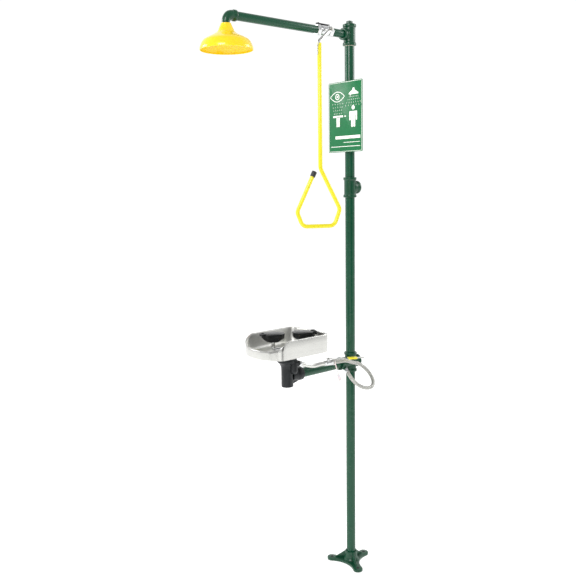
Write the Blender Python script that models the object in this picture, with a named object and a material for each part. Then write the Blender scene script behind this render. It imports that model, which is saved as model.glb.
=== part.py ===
"""Emergency combination shower: a drench shower and an eye and face wash on one floor-mounted pole.

Metres, +Z up. The origin is on the floor, on the pole's axis. The shower arm and the eyewash arm point along -Y.
"""

import math

import bmesh
import bpy
import numpy as np
from mathutils import Matrix, Vector

MM = 0.001
GAP = 0.3 * MM  # clearance between pieces that touch
SIDES = 22  # facets round a turned piece

# Pipe sizes: 1-1/4 in for the pole and the eyewash arm, 1 in for the shower arm.
POLE_R, POLE_BORE_R = 21.1 * MM, 17.5 * MM
ARM_R, ARM_BORE_R = 16.7 * MM, 13.3 * MM

# Heights of the three branch lines above the floor, and the reach of each arm.
ARM_Z = 2.402
SUPPLY_Z = 1.754
WASH_Z = 0.968
HEAD_Y = -0.656
DRAIN_Y = -0.381

# Threaded fittings.
FITTING_REACH = 44.5 * MM
SOCKET_DEPTH = 16 * MM
PIPE_INSET = 29 * MM  # a pipe's end stands this far from the centre of its fitting
BEAD = 14 * MM
CROSS_REACH = 75 * MM  # the eyewash cross's front branch is longer, to hold the hose outlet

# Floor flange with three feet.
FOOT_ANGLES = [math.radians(a) for a in (-26, 94, 214)]
FOOT_CIRCLE, FOOT_R, FOOT_THICK = 92 * MM, 22 * MM, 12 * MM
WEB_R = 40 * MM  # how near the hollow edge between two feet comes to the pole
HUB_R, HUB_TOP = 30 * MM, 55 * MM
BOLT_HOLE_R = 6.5 * MM
BLIND_FLOOR = 8 * MM

# Shower valve, its lever and the pull rod.
VALVE_Y = -0.1535
LEVER_REACH, LEVER_DROP = 86 * MM, math.radians(38.6)
LEVER_X = 45 * MM
ROD_R = 8.75 * MM
HANDLE_TURN = math.radians(25)
ROD_TOP = 8.5 * MM  # the rod's top is this far under the lever's hole

# Shower head, an open bell: outer radius at heights above its rim.
HEAD_RIM_Z = 2.272
HEAD_WALL = 3 * MM
HEAD_OUTLINE = [
    (101.6, 0), (101, 8), (98.7, 15), (95.6, 22), (91.6, 30), (85.5, 37), (73, 44.5), (59, 51),
    (44, 58.5), (34, 66), (29.2, 73), (26.6, 80), (23.2, 87), (20, 94), (20, 97),
]

# Sign plate on the pole.
SIGN_X, SIGN_WIDTH, SIGN_Z, SIGN_HEIGHT = 3 * MM, 203 * MM, 2.057, 300 * MM
SIGN_FRONT_Y, SIGN_THICK = -31.5 * MM, 3 * MM
CLAMP_HEIGHTS = {"upper": 2.145, "lower": 1.970}
EAR_X = 36 * MM

# Eyewash bowl and the two spray heads.
BOWL_SIDE_X, BOWL_REAR_Y, BOWL_FRONT_Y = 121 * MM, -0.24, -0.556
BOWL_CORNER_Y, BOWL_FRONT_X = -0.518, 105 * MM
BOWL_SKIRT_Z, RIM_HIGH_Z, RIM_LOW_Z = 1.073, 1.148, 1.108
BOWL_DRAIN_Z, BOWL_SHEET = 1.049, 2 * MM
DRAIN_HOLE_R = 21 * MM
POD_LINE = math.radians(243)  # direction from the rear spray head to the front one, seen from above
POD_Y = DRAIN_Y + 10 * MM
POD_SPACING, POD_LENGTH, POD_WIDTH = 132 * MM, 95 * MM, 63 * MM
POD_BASE_Z, POD_TOP_Z = 1.119, 1.150

# Drain casting under the bowl.
DRAIN_R, DRAIN_BORE_R, DRAIN_FOOT_Z, DRAIN_TOP_Z = 25.5 * MM, 20.5 * MM, 0.923, 1.0445
ARM_SOCKET_Y = -0.305
INLET = Vector((0.036, -0.341, 1.021))
INLET_AIM = Vector((0.10, 0.95, -0.30)).normalized()

# Eyewash valve, its lever, the supply tube and the braided hose.
WASH_VALVE = Vector((0.056, -0.194, 1.003))
WASH_FLOW = Vector((0.17, 0.985, -0.03)).normalized()
WASH_VALVE_SCALE = 0.5
WASH_LEVER_TURN = math.radians(28.7)
WASH_LEVER_REACH = 160 * MM
TUBE_R = 9 * MM
HOSE_R = 8.25 * MM
OUTLET = Vector((0, -0.052, WASH_Z))  # on the axis of the arm, where the hose's outlet boss starts
OUTLET_AIM = Vector((0.75, -0.12, -0.65)).normalized()
OUTLET_HOSE = 54 * MM
HOSE_LEADS = (24 * MM, 21 * MM)  # how far the hose runs straight out of its two nuts
HOSE_CONTROLS = [
    (0.0781, -0.1058, 1.0063), (0.0855, -0.0675, 0.9846), (0.0282, 0.0153, 0.9667),
    (0.0485, 0.0640, 0.9252), (0.0889, 0.0617, 0.8840), (0.1180, 0.0198, 0.8632),
    (0.1149, -0.0344, 0.8697), (0.0846, -0.0659, 0.8985),
]

FINISHES = {
    "green": ("0B4A33", 0.3, 0.0),
    "sign_green": ("05804F", 0.45, 0.0),
    "yellow": ("FAE128", 0.35, 0.0),
    "rod_yellow": ("ECE43C", 0.4, 0.0),
    "chrome": ("C9CBCC", 0.12, 1.0),
    "stainless": ("B9B8B2", 0.3, 1.0),
    "steel": ("A9AAA8", 0.4, 1.0),
    "black": ("1E2324", 0.5, 0.0),
    "casting": ("2D3234", 0.55, 0.0),
    "white": ("EEE9E4", 0.5, 0.0),
    "seat": ("F2F0EA", 0.4, 0.0),
}


def material(finish):
    """The Principled material of a finish, made once."""
    found = bpy.data.materials.get(finish)
    if found:
        return found
    code, roughness, metallic = FINISHES[finish]
    made = bpy.data.materials.new(finish)
    made.use_nodes = True
    shader = made.node_tree.nodes["Principled BSDF"]
    srgb = [int(code[i : i + 2], 16) / 255 for i in (0, 2, 4)]
    linear = [((c + 0.055) / 1.055) ** 2.4 if c > 0.04045 else c / 12.92 for c in srgb]
    shader.inputs["Base Color"].default_value = (*linear, 1.0)
    shader.inputs["Roughness"].default_value = roughness
    shader.inputs["Metallic"].default_value = metallic
    return made


def frame(origin, axis=(0, 0, 1), across=(1, 0, 0)):
    """A placement whose Z runs along axis and whose X is as near across as it can be."""
    z = Vector(axis).normalized()
    x = Vector(across)
    if abs(x.normalized().dot(z)) > 0.99:
        x = Vector((0, 1, 0))
    x = (x - x.dot(z) * z).normalized()
    turn = Matrix((x, z.cross(x), z)).transposed().to_4x4()
    return Matrix.Translation(Vector(origin)) @ turn


def piece(name, bm, finish, place=None):
    """Turns a bmesh into a named object with its material, standing at place."""
    bmesh.ops.remove_doubles(bm, verts=bm.verts, dist=1e-6)
    bmesh.ops.recalc_face_normals(bm, faces=bm.faces)
    mesh = bpy.data.meshes.new(name)
    bm.to_mesh(mesh)
    bm.free()
    mesh.shade_smooth()
    mesh.set_sharp_from_angle(angle=math.radians(35))
    made = bpy.data.objects.new(name, mesh)
    mesh.materials.append(material(finish))
    made.matrix_world = place or Matrix()
    bpy.context.collection.objects.link(made)
    return made


def turned(name, outline, finish, place=None, steps=SIDES):
    """A solid of revolution: the outline's (radius, height) points spun round Z. It closes on the axis or on itself."""
    bm = bmesh.new()
    verts = [bm.verts.new((r, 0, h)) for r, h in outline]
    edges = [bm.edges.new(pair) for pair in zip(verts, verts[1:])]
    if outline[0][0] > 0:
        edges.append(bm.edges.new((verts[-1], verts[0])))
    bmesh.ops.spin(
        bm, geom=verts + edges, cent=(0, 0, 0), axis=(0, 0, 1), angle=2 * math.pi, steps=steps
    )
    return piece(name, bm, finish, place)


def rod(radius, low, high):
    """The outline of a plain cylinder."""
    return [(0, low), (radius, low), (radius, high), (0, high)]


def ring(inner, outer, low, high):
    """The outline of a plain ring or tube."""
    return [(inner, low), (outer, low), (outer, high), (inner, high)]


def slab(name, outline, low, high, finish, place=None):
    """A flat outline of (x, y) points extruded from low to high along Z."""
    bm = bmesh.new()
    base = bm.faces.new([bm.verts.new((x, y, low)) for x, y in outline])
    grown = bmesh.ops.extrude_face_region(bm, geom=[base])
    top = [v for v in grown["geom"] if isinstance(v, bmesh.types.BMVert)]
    bmesh.ops.translate(bm, vec=(0, 0, high - low), verts=top)
    return piece(name, bm, finish, place)


def block(name, low, high, finish, place=None):
    """A rectangular block between two corners."""
    outline = [(low[0], low[1]), (high[0], low[1]), (high[0], high[1]), (low[0], high[1])]
    return slab(name, outline, low[2], high[2], finish, place)


def bar(name, path, width, low, high, finish, place=None):
    """A strip of constant width along a path of (x, y) points, extruded from low to high along Z."""
    points = np.array(path)
    run = np.gradient(points, axis=0)
    side = np.stack([-run[:, 1], run[:, 0]], axis=1)
    side /= np.linalg.norm(side, axis=1)[:, None]
    left, right = points + side * width / 2, points - side * width / 2
    return slab(name, [*left, *right[::-1]], low, high, finish, place)


def swept(name, path, radii, finish, bore=None, sides=16, place=None):
    """A round bar or pipe carried along a path, with a radius at each point and an optional bore."""
    points = np.array([tuple(p) for p in path], float)
    run = np.gradient(points, axis=0)
    run /= np.linalg.norm(run, axis=1)[:, None]
    side = np.cross(run[0], [0.0, 0.0, 1.0])
    if np.linalg.norm(side) < 0.1:
        side = np.cross(run[0], [1.0, 0.0, 0.0])
    bm = bmesh.new()
    turns = np.arange(sides) * 2 * math.pi / sides
    walls = [np.broadcast_to(radii, len(points))]
    if bore is not None:
        walls.append(np.broadcast_to(bore, len(points)))
    loops = [[] for _ in walls]
    for i, along in enumerate(run):
        side = side - side.dot(along) * along
        side /= np.linalg.norm(side)
        up = np.cross(along, side)
        circle = np.cos(turns)[:, None] * side + np.sin(turns)[:, None] * up
        for wall, loop in zip(walls, loops):
            loop.append([bm.verts.new(points[i] + wall[i] * c) for c in circle])
    for loop in loops:
        for a, b in zip(loop, loop[1:]):
            for j in range(sides):
                k = (j + 1) % sides
                bm.faces.new((a[j], a[k], b[k], b[j]))
    for end in (0, -1):
        if bore is None:
            bm.faces.new(loops[0][end])
            continue
        outer, inner = loops[0][end], loops[1][end]
        for j in range(sides):
            k = (j + 1) % sides
            bm.faces.new((outer[j], outer[k], inner[k], inner[j]))
    return piece(name, bm, finish, place)


def combine(target, operation, tools):
    """Adds or cuts away the tool shapes, which stay in the file as hidden guides."""
    for tool in tools:
        step = target.modifiers.new(tool.name, "BOOLEAN")
        step.operation = operation
        step.solver = "EXACT"
        step.object = tool
        tool.hide_render = True
        tool.display_type = "WIRE"
    return target


def fuse(target, *tools):
    return combine(target, "UNION", tools)


def cut(target, *tools):
    return combine(target, "DIFFERENCE", tools)


def smooth_route(points, step):
    """Points about one step apart on a centripetal Catmull-Rom curve through the route's points."""
    p = [Vector(q) for q in points]
    p = [2 * p[0] - p[1], *p, 2 * p[-1] - p[-2]]
    out = []
    for a, b, c, d in zip(p, p[1:], p[2:], p[3:]):
        t1 = (b - a).length ** 0.5
        t2 = t1 + (c - b).length ** 0.5
        t3 = t2 + (d - c).length ** 0.5
        n = max(1, round((c - b).length / step))
        for i in range(n):
            t = t1 + (t2 - t1) * i / n
            ab = a.lerp(b, t / t1)
            bc = b.lerp(c, (t - t1) / (t2 - t1))
            cd = c.lerp(d, (t - t2) / (t3 - t2))
            abc = ab.lerp(bc, t / t2)
            bcd = bc.lerp(cd, (t - t1) / (t3 - t1))
            out.append(abc.lerp(bcd, (t - t1) / (t2 - t1)))
    return [*out, p[-2]]


def rounded(corners, radius, per_arc=6):
    """The corners of a path of 3D points replaced by arcs of the given radius."""
    p = [Vector(c) for c in corners]
    out = [p[0]]
    for a, b, c in zip(p, p[1:], p[2:]):
        u, v = (a - b).normalized(), (c - b).normalized()
        half = u.angle(v) / 2
        reach = radius / math.tan(half)
        centre = b + (u + v).normalized() * radius / math.sin(half)
        start, end = b + u * reach - centre, b + v * reach - centre
        sweep = start.angle(end)
        for i in range(per_arc + 1):
            k = i / per_arc
            arm = (math.sin((1 - k) * sweep) * start + math.sin(k * sweep) * end) / math.sin(sweep)
            out.append(centre + arm)
    return [*out, p[-1]]


def mouth(pipe, reach, way=1):
    """Half the outline of a fitting's outer side, out to the bead round one mouth."""
    body, bead = pipe + 4.4 * MM, pipe + 8 * MM
    steps = [(body, reach - BEAD), (bead, reach - BEAD + 4 * MM), (bead, reach - 1 * MM),
             (bead - 1 * MM, reach)]
    return [(r, way * h) for r, h in steps]


def waterway(pipe, reach, way=1):
    """Half the outline of a fitting's inner side: the bore, then the socket for the pipe's end."""
    bore = pipe - 3.6 * MM
    steps = [(bore, reach - SOCKET_DEPTH), (pipe + GAP, reach - SOCKET_DEPTH),
             (pipe + GAP, reach + 2 * MM)]
    return [(r, way * h) for r, h in steps]


def fitting(name, centre, branches):
    """A threaded fitting: an upright run for the pole and branches of (direction, reach, pipe radius)."""
    top, foot = mouth(POLE_R, FITTING_REACH), mouth(POLE_R, FITTING_REACH, -1)[::-1]
    body = turned(name, [(0, -FITTING_REACH), *foot, *top, (0, FITTING_REACH)], "green", frame(centre))
    way, back = waterway(POLE_R, FITTING_REACH), waterway(POLE_R, FITTING_REACH, -1)[::-1]
    bores = [turned(f"{name}_run_bore", [(0, back[0][1]), *back, *way, (0, way[-1][1])], "green",
                    frame(centre))]
    arms = []
    half_facet = Matrix.Rotation(math.pi / SIDES, 4, "Z")
    for i, (aim, reach, pipe) in enumerate(branches):
        place = frame(centre, aim) @ half_facet
        outer = mouth(pipe - 0.4 * MM, reach)
        start = (3 + i) * MM
        arms.append(turned(f"{name}_branch_{i}", [(0, start), (outer[0][0], start), *outer, (0, reach)],
                           "green", place))
        inner = waterway(pipe, reach)
        bores.append(turned(f"{name}_bore_{i}", [(0, 0), (inner[0][0] - 0.5 * MM, 0), *inner,
                                                 (0, inner[-1][1])], "green", place))
    fuse(body, *arms)
    return cut(body, *bores)


def floor_flange():
    """Cast flange: three round feet joined by hollow edges, a hub for the pole and a gusset on each foot."""
    step = 2 * math.pi / 3
    reach = WEB_R - FOOT_R
    out = (FOOT_CIRCLE**2 - reach**2) / (2 * (FOOT_CIRCLE * math.cos(step / 2) - reach))
    hollow_r = out - WEB_R
    across = out * math.sin(step / 2)
    lean = math.atan2(across, out * math.cos(step / 2) - FOOT_CIRCLE)
    outline = []
    for angle in FOOT_ANGLES:
        foot = Vector((math.cos(angle), math.sin(angle))) * FOOT_CIRCLE
        for i in range(9):
            a = angle + lean * (i / 4 - 1)
            outline.append(foot + FOOT_R * Vector((math.cos(a), math.sin(a))))
        middle = angle + step / 2
        hollow = Vector((math.cos(middle), math.sin(middle))) * out
        for i in range(1, 8):
            a = middle + math.pi + (lean - step / 2) * (1 - i / 4)
            outline.append(hollow + hollow_r * Vector((math.cos(a), math.sin(a))))
    flange = slab("floor_flange", [tuple(p) for p in outline], 0, FOOT_THICK, "green")
    hub = turned(
        "flange_hub",
        [(0, 2 * MM), (HUB_R + 6 * MM, 2 * MM), (HUB_R + 6 * MM, 15 * MM), (HUB_R, 24 * MM),
         (HUB_R - 2 * MM, HUB_TOP), (0, HUB_TOP)],
        "green",
    )
    shapes, holes = [hub], []
    for i, angle in enumerate(FOOT_ANGLES):
        aim = (math.cos(angle), math.sin(angle), 0)
        wedge = [(0.010, 0.004), (0.078, 0.004), (0.078, 0.013), (0.029, 0.050), (0.010, 0.050)]
        place = frame((0, 0, 0), Vector(aim).cross(Vector((0, 0, 1))), aim)
        shapes.append(slab(f"flange_gusset_{i}", wedge, -4 * MM, 4 * MM, "green", place))
        foot = Vector(aim) * FOOT_CIRCLE
        holes.append(turned(f"flange_bolt_{i}", rod(BOLT_HOLE_R, -0.01, 0.03), "green",
                            frame(foot), steps=16))
    holes.append(turned("flange_bore", rod(POLE_R + GAP, BLIND_FLOOR, 0.08), "green"))
    fuse(flange, *shapes)
    cut(flange, *holes)


def pole():
    """The pole's three lengths of pipe, the fittings between them and the plugs in their unused mouths."""
    lengths = {
        "lower_pole": (BLIND_FLOOR + GAP, WASH_Z - PIPE_INSET),
        "middle_pole": (WASH_Z + PIPE_INSET, SUPPLY_Z - PIPE_INSET),
        "upper_pole": (SUPPLY_Z + PIPE_INSET, ARM_Z - PIPE_INSET),
    }
    for name, (low, high) in lengths.items():
        turned(name, ring(POLE_BORE_R, POLE_R, low, high), "green")
    front, back = (0, -1, 0), (0, 1, 0)
    fitting("top_tee", (0, 0, ARM_Z), [(front, FITTING_REACH, ARM_R)])
    fitting("supply_tee", (0, 0, SUPPLY_Z), [(back, FITTING_REACH, POLE_R)])
    cross = fitting("eyewash_cross", (0, 0, WASH_Z),
                    [(back, FITTING_REACH, POLE_R), (front, CROSS_REACH, POLE_R)])
    place = frame(OUTLET, OUTLET_AIM)
    boss = turned("outlet_boss", rod(11 * MM, 24 * MM, 34 * MM), "green", place)
    tap = turned("outlet_tap", rod(7 * MM, 10 * MM, 40 * MM), "green", place, steps=12)
    fuse(cross, boss)
    cut(cross, tap)
    plug("top_plug", (0, 0, ARM_Z), (0, 0, 1))
    plug("cross_plug", (0, 0, WASH_Z), back)


def plug(name, centre, aim):
    """Pipe plug: a threaded barrel, a round shoulder and a square head for the wrench."""
    place = frame(centre, aim)
    reach = FITTING_REACH
    outline = [
        (0, PIPE_INSET), (POLE_R, PIPE_INSET), (POLE_R, reach - 1 * MM),
        (17 * MM, reach + 3 * MM), (15 * MM, reach + 5 * MM), (0, reach + 5 * MM),
    ]
    body = turned(name, outline, "green", place)
    half = 10.5 * MM
    head = block(f"{name}_square", (-half, -half, reach), (half, half, reach + 13.5 * MM), "green", place)
    fuse(body, head)


def ball_valve(prefix, place, k, socket_r, boss_top, nut_top, sides=SIDES):
    """Two-piece ball valve of scale k: local Z runs along the flow, local X along the stem."""
    flow, stem_place = place, place @ Matrix.Rotation(math.pi / 2, 4, "Y")
    end, hex_r, barrel = 44.3 * MM * k, 23.5 * MM * k, 22.5 * MM * k
    port, chamber, depth = 12.5 * MM * k, 19.5 * MM * k, 16 * MM * k
    body = turned(f"{prefix}_valve_body",
                  [(0, -24 * MM * k), (barrel * 0.86, -24 * MM * k), (barrel, -15 * MM * k),
                   (barrel, 17 * MM * k), (barrel * 0.95, 24 * MM * k), (0, 24 * MM * k)],
                  "chrome", flow, sides)
    wrench = turned(f"{prefix}_body_hex",
                    [(0, -end), (hex_r * 0.92, -end), (hex_r, -end + 2 * MM * k), (hex_r, -25 * MM * k),
                     (hex_r * 0.8, -21 * MM * k), (0, -21 * MM * k)], "chrome", flow, steps=6)
    boss = turned(f"{prefix}_boss", rod(10.5 * MM * k, 8 * MM * k, boss_top), "chrome", stem_place, 16)
    room = turned(f"{prefix}_room",
                  [(0, -end - 1 * MM), (socket_r, -end - 1 * MM), (socket_r, -end + depth),
                   (port, -end + depth), (port, -16.5 * MM * k), (chamber, -16.5 * MM * k),
                   (chamber, 26 * MM * k), (0, 26 * MM * k)], "chrome", flow, sides)
    bore = turned(f"{prefix}_stem_bore", rod(4.6 * MM * k, 10 * MM * k, boss_top + 1 * MM), "chrome",
                  stem_place, steps=16)
    fuse(body, wrench, boss)
    cut(body, room, bore)

    retainer = turned(f"{prefix}_valve_retainer",
                      [(port, 16.6 * MM * k), (chamber - GAP, 16.6 * MM * k),
                       (chamber - GAP, 24 * MM * k + GAP), (hex_r * 0.84, 24 * MM * k + GAP),
                       (hex_r * 0.84, end), (socket_r, end), (socket_r, end - depth),
                       (port, end - depth)], "chrome", flow, sides)
    clear = (socket_r + 0.5 * MM) / math.cos(math.pi / 6)
    grip = turned(f"{prefix}_retainer_hex", ring(clear, hex_r, 24 * MM * k + 2 * GAP, end - GAP), "chrome",
                  flow, steps=6)
    fuse(retainer, grip)

    seat = [(12.9, 12.5), (18.8, 12.5), (18.8, 16.2), (11.3, 16.2), (11.3, 14.1)]
    for name, way in (("inlet", -1), ("outlet", 1)):
        turned(f"{prefix}_valve_seat_{name}",
               [(r * MM * k, way * h * MM * k) for r, h in seat], "seat", flow, 16)

    ball_mesh = bmesh.new()
    bmesh.ops.create_uvsphere(ball_mesh, u_segments=16, v_segments=8, radius=17.5 * MM * k)
    ball = piece(f"{prefix}_valve_ball", ball_mesh, "chrome", stem_place)
    way = turned(f"{prefix}_ball_way", rod(11 * MM * k, -30 * MM * k, 30 * MM * k), "chrome",
                 place @ Matrix.Rotation(math.pi / 2, 4, "X"), steps=16)
    slot = block(f"{prefix}_ball_slot", (-2 * MM * k, -20 * MM * k, 14.5 * MM * k),
                 (2 * MM * k, 20 * MM * k, 20 * MM * k), "chrome", stem_place)
    cut(ball, way, slot)

    nut = turned(f"{prefix}_packing_nut",
                 ring(5.3 * MM * k, 11 * MM * k, boss_top + GAP, nut_top), "chrome", stem_place, steps=6)
    return stem_place, nut


def valve_stem(prefix, place, k, shoulder, lever_top, top):
    """Stem with a tang in the ball's slot, a shoulder under the lever and a threaded end for its nut."""
    stem = turned(f"{prefix}_valve_stem",
                  [(0, 17.2 * MM * k), (4 * MM * k, 17.2 * MM * k), (4 * MM * k, shoulder - 2.5 * MM * k),
                   (6.5 * MM * k, shoulder - 2.5 * MM * k), (6.5 * MM * k, shoulder),
                   (4 * MM * k, shoulder), (4 * MM * k, top), (0, top)], "steel", place, steps=16)
    tang = block(f"{prefix}_tang", (-1.5 * MM * k, -3.2 * MM * k, 15 * MM * k),
                 (1.5 * MM * k, 3.2 * MM * k, 18 * MM * k), "steel", place)
    fuse(stem, tang)
    turned(f"{prefix}_lever_nut",
           ring((4 * MM * k + GAP) / math.cos(math.pi / 6), 8 * MM * k, lever_top + GAP,
                lever_top + 6 * MM * k), "steel", place,
           steps=6)


def shower_valve():
    """The shower's ball valve in the arm, its lever and the dark stop bracket on top of it."""
    place = frame((0, VALVE_Y, ARM_Z), (0, -1, 0), (1, 0, 0))
    stem_place, _ = ball_valve("shower", place, 1.0, ARM_R + GAP, 32 * MM, 40 * MM)
    thick = 3 * MM
    low = LEVER_X - thick / 2
    valve_stem("shower", stem_place, 1.0, low - GAP, LEVER_X + thick / 2, 55 * MM)
    aim = Vector((0, -math.cos(LEVER_DROP), -math.sin(LEVER_DROP)))
    lever_place = frame((0, VALVE_Y, ARM_Z), (1, 0, 0), aim)
    back, ahead, half = -13 * MM, LEVER_REACH + 7.5 * MM, 6.5 * MM
    outline = [(back, -half + 3 * MM), (back + 3 * MM, -half), (ahead - 4 * MM, -half),
               (ahead, -half + 4 * MM), (ahead, half - 4 * MM), (ahead - 4 * MM, half),
               (back + 3 * MM, half), (back, half - 3 * MM)]
    lever = slab("shower_lever", outline, low, LEVER_X + thick / 2, "stainless", lever_place)
    eye = turned("lever_stem_hole", rod(4 * MM + GAP, 0.03, 0.06), "stainless", lever_place, steps=16)
    hook = turned("lever_hook_hole", rod(3.2 * MM, 0.03, 0.06), "stainless",
                  lever_place @ Matrix.Translation((LEVER_REACH, 0, 0)), steps=16)
    cut(lever, eye, hook)
    plate = block("shower_stop_bracket", (-10 * MM, VALVE_Y - 34 * MM, ARM_Z + 22.8 * MM),
                  (10 * MM, VALVE_Y + 28 * MM, ARM_Z + 26 * MM), "black")
    lip = block("stop_lip", (-9 * MM, VALVE_Y - 37 * MM, ARM_Z + 23.6 * MM),
                (9 * MM, VALVE_Y - 33 * MM, ARM_Z + 29 * MM), "black")
    fuse(plate, lip)


def pull_rod():
    """Coated steel rod bent to a triangular handle, hung from the lever by a wire bail, with a cap on its end."""
    hole = Vector((LEVER_X, VALVE_Y - LEVER_REACH * math.cos(LEVER_DROP),
                   ARM_Z - LEVER_REACH * math.sin(LEVER_DROP)))
    across = Vector((math.sin(HANDLE_TURN), math.cos(HANDLE_TURN), 0))
    top = hole - Vector((0, 0, ROD_TOP))
    bend = 505 * MM
    corners = [(0, 0), (0, -bend), (0.0855, -bend - 0.170), (0.060, -bend - 0.240),
               (-0.0795, -bend - 0.240), (-0.1035, -bend - 0.179), (-0.0269, -bend - 0.0164)]
    route = [top + across * x + Vector((0, 0, z)) for x, z in corners]
    path = [route[0], *rounded(route[:3], 0.060)[1:-1], *rounded(route[1:], 0.030)[1:]]
    shaft = swept("pull_rod", path, ROD_R, "rod_yellow", sides=10)
    place_on(shaft, hole)
    end, before = path[-1], path[-2]
    aim = (end - before).normalized()
    cap = turned("pull_rod_cap",
                 [(0, 0.6 * MM), (ROD_R + GAP, 0.6 * MM), (ROD_R + GAP, -20 * MM), (ROD_R + 2 * MM, -20 * MM),
                  (ROD_R + 2 * MM, 2 * MM), (ROD_R, 4.5 * MM), (0, 4.5 * MM)],
                 "black", frame(end, aim))
    wire = 2 * MM
    leg = 4.6 * MM
    bail = [hole + Vector(p) for p in (
        (-leg, 0, -ROD_TOP + GAP), (-leg, 0, 0), (leg + 1 * MM, 0, 0), (leg + 1 * MM, -0.009, -0.004),
        (leg + 1 * MM, -0.0115, -0.014), (0.002, -0.0122, -0.024), (0.002, -0.0122, -0.058))]
    place_on(swept("pull_rod_hook", rounded(bail, 2.1 * MM, 3), wire, "steel", sides=8), hole)


def place_on(made, origin):
    """Moves an object's origin to a point, leaving its mesh where it stands."""
    made.data.transform(Matrix.Translation(-Vector(origin)) @ made.matrix_world)
    made.matrix_world = Matrix.Translation(Vector(origin))


def shower_arm():
    """Nipple, valve, arm pipe and elbow in one line, ending over the user's head."""
    valve_half = 44.3 * MM
    depth = 15 * MM
    place = frame((0, 0, ARM_Z), (0, -1, 0))
    near, far = -VALVE_Y - valve_half, -VALVE_Y + valve_half
    turned("valve_nipple", ring(ARM_BORE_R, ARM_R, PIPE_INSET, near + depth), "green", place)
    elbow_mouth = -HEAD_Y - 45 * MM
    turned("arm_pipe", ring(ARM_BORE_R, ARM_R, far - depth, elbow_mouth + depth), "green", place)
    bend_r = 28 * MM
    mouth = Vector((0, -elbow_mouth, ARM_Z))
    corner, foot = Vector((0, HEAD_Y, ARM_Z)), Vector((0, HEAD_Y, 2.3535))
    curve = rounded([mouth, corner, foot], bend_r)
    lead = [mouth, mouth + Vector((0, -11.5 * MM, 0)), mouth + Vector((0, -14 * MM, 0))]
    end = [Vector((0, HEAD_Y, 2.372)), foot]
    path = [*lead, *curve[1:-1], *end]
    radii = [21.5 * MM, 21.5 * MM, 18.8 * MM] + [18.6 * MM] * 3 + [17 * MM] * 2 + [15.6 * MM] * 2
    radii += [15 * MM] * (len(path) - len(radii))
    elbow = swept("arm_elbow", path, radii, "green", sides=20)
    hollow = rounded([mouth + Vector((0, 5 * MM, 0)), corner, foot - Vector((0, 0, 5 * MM))], bend_r)
    way = swept("elbow_way", hollow, 11.5 * MM, "green", sides=12)
    socket = turned("elbow_socket", rod(ARM_R + GAP, elbow_mouth - 5 * MM, elbow_mouth + 15.5 * MM), "green",
                    place)
    cut(elbow, way, socket)


def shower_head():
    """Yellow plastic bell with a neck that takes the elbow, and the diffuser that spreads the water inside it."""
    place = Matrix.Translation((0, HEAD_Y, HEAD_RIM_Z))
    outer = [(r * MM, h * MM) for r, h in HEAD_OUTLINE]
    inner = []
    for (r, h), (r2, h2) in zip(outer[:12], outer[1:13]):
        slope = Vector((r2 - r, h2 - h)).normalized()
        inner.append((r - HEAD_WALL * slope.y, h + HEAD_WALL * slope.x * 0.3))
    inner[0] = (outer[0][0] - HEAD_WALL, 0)
    neck_r = 15 * MM + GAP
    inner[-2:] = [(24 * MM, 74 * MM), (neck_r, 80.5 * MM)]
    turned("shower_head", [*outer, (neck_r, outer[-1][1]), *reversed(inner)], "yellow", place, steps=24)
    diffuser = turned("shower_diffuser", ring(8 * MM, 14.6 * MM, 72.5 * MM, 80.5 * MM), "yellow", place, 16)
    posts = [turned(f"diffuser_post_{i}", rod(1.8 * MM, 54 * MM, 75 * MM), "yellow",
                    place @ Matrix.Translation((11 * MM * math.cos(a), 11 * MM * math.sin(a), 0)), steps=8)
             for i, a in enumerate((0.3, 0.3 + 2 * math.pi / 3, 0.3 + 4 * math.pi / 3))]
    disc = turned("diffuser_disc", [(0, 52 * MM), (19 * MM, 51 * MM), (20 * MM, 52.5 * MM), (0, 56 * MM)],
                  "yellow", place, 16)
    fuse(diffuser, *posts, disc)


def sign():
    """Sign plate held to the pole by two strap clamps, each with two rivets."""
    low = (SIGN_X - SIGN_WIDTH / 2, SIGN_FRONT_Y, SIGN_Z - SIGN_HEIGHT / 2)
    high = (SIGN_X + SIGN_WIDTH / 2, SIGN_FRONT_Y + SIGN_THICK, SIGN_Z + SIGN_HEIGHT / 2)
    plate = block("sign_plate", low, high, "sign_green")
    ear_y = SIGN_FRONT_Y + SIGN_THICK + GAP
    thick = 2 * MM
    loop_r = POLE_R + GAP + thick / 2
    arc = [(loop_r * math.cos(a), loop_r * math.sin(a)) for a in np.linspace(0, math.pi, 13)]
    turn_y = ear_y + thick / 2
    path = [(46 * MM, turn_y), (30 * MM, turn_y), (24.5 * MM, turn_y), (23.2 * MM, -22 * MM), *arc,
            (-23.2 * MM, -22 * MM), (-24.5 * MM, turn_y), (-30 * MM, turn_y), (-46 * MM, turn_y)]
    holes = []
    for level, height in CLAMP_HEIGHTS.items():
        clamp = bar(f"sign_clamp_{level}", path, thick, height - 10 * MM, height + 10 * MM, "steel")
        ear_holes = []
        for side, x in (("left", -EAR_X), ("right", EAR_X)):
            place = frame((x, ear_y, height), (0, 1, 0))
            turned(f"sign_rivet_{level}_{side}",
                   [(0, -2.3 * MM), (1.9 * MM, -2.3 * MM), (1.9 * MM, thick + GAP),
                    (4 * MM, thick + GAP), (3 * MM, thick + 2.2 * MM), (0, thick + 2.6 * MM)],
                   "steel", place, steps=8)
            hole = turned(f"rivet_hole_{level}_{side}", rod(2.2 * MM, -2.6 * MM, 4 * MM), "steel",
                          place, steps=8)
            holes.append(hole)
            ear_holes.append(hole)
        cut(clamp, *ear_holes)
    cut(plate, *holes)


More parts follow.
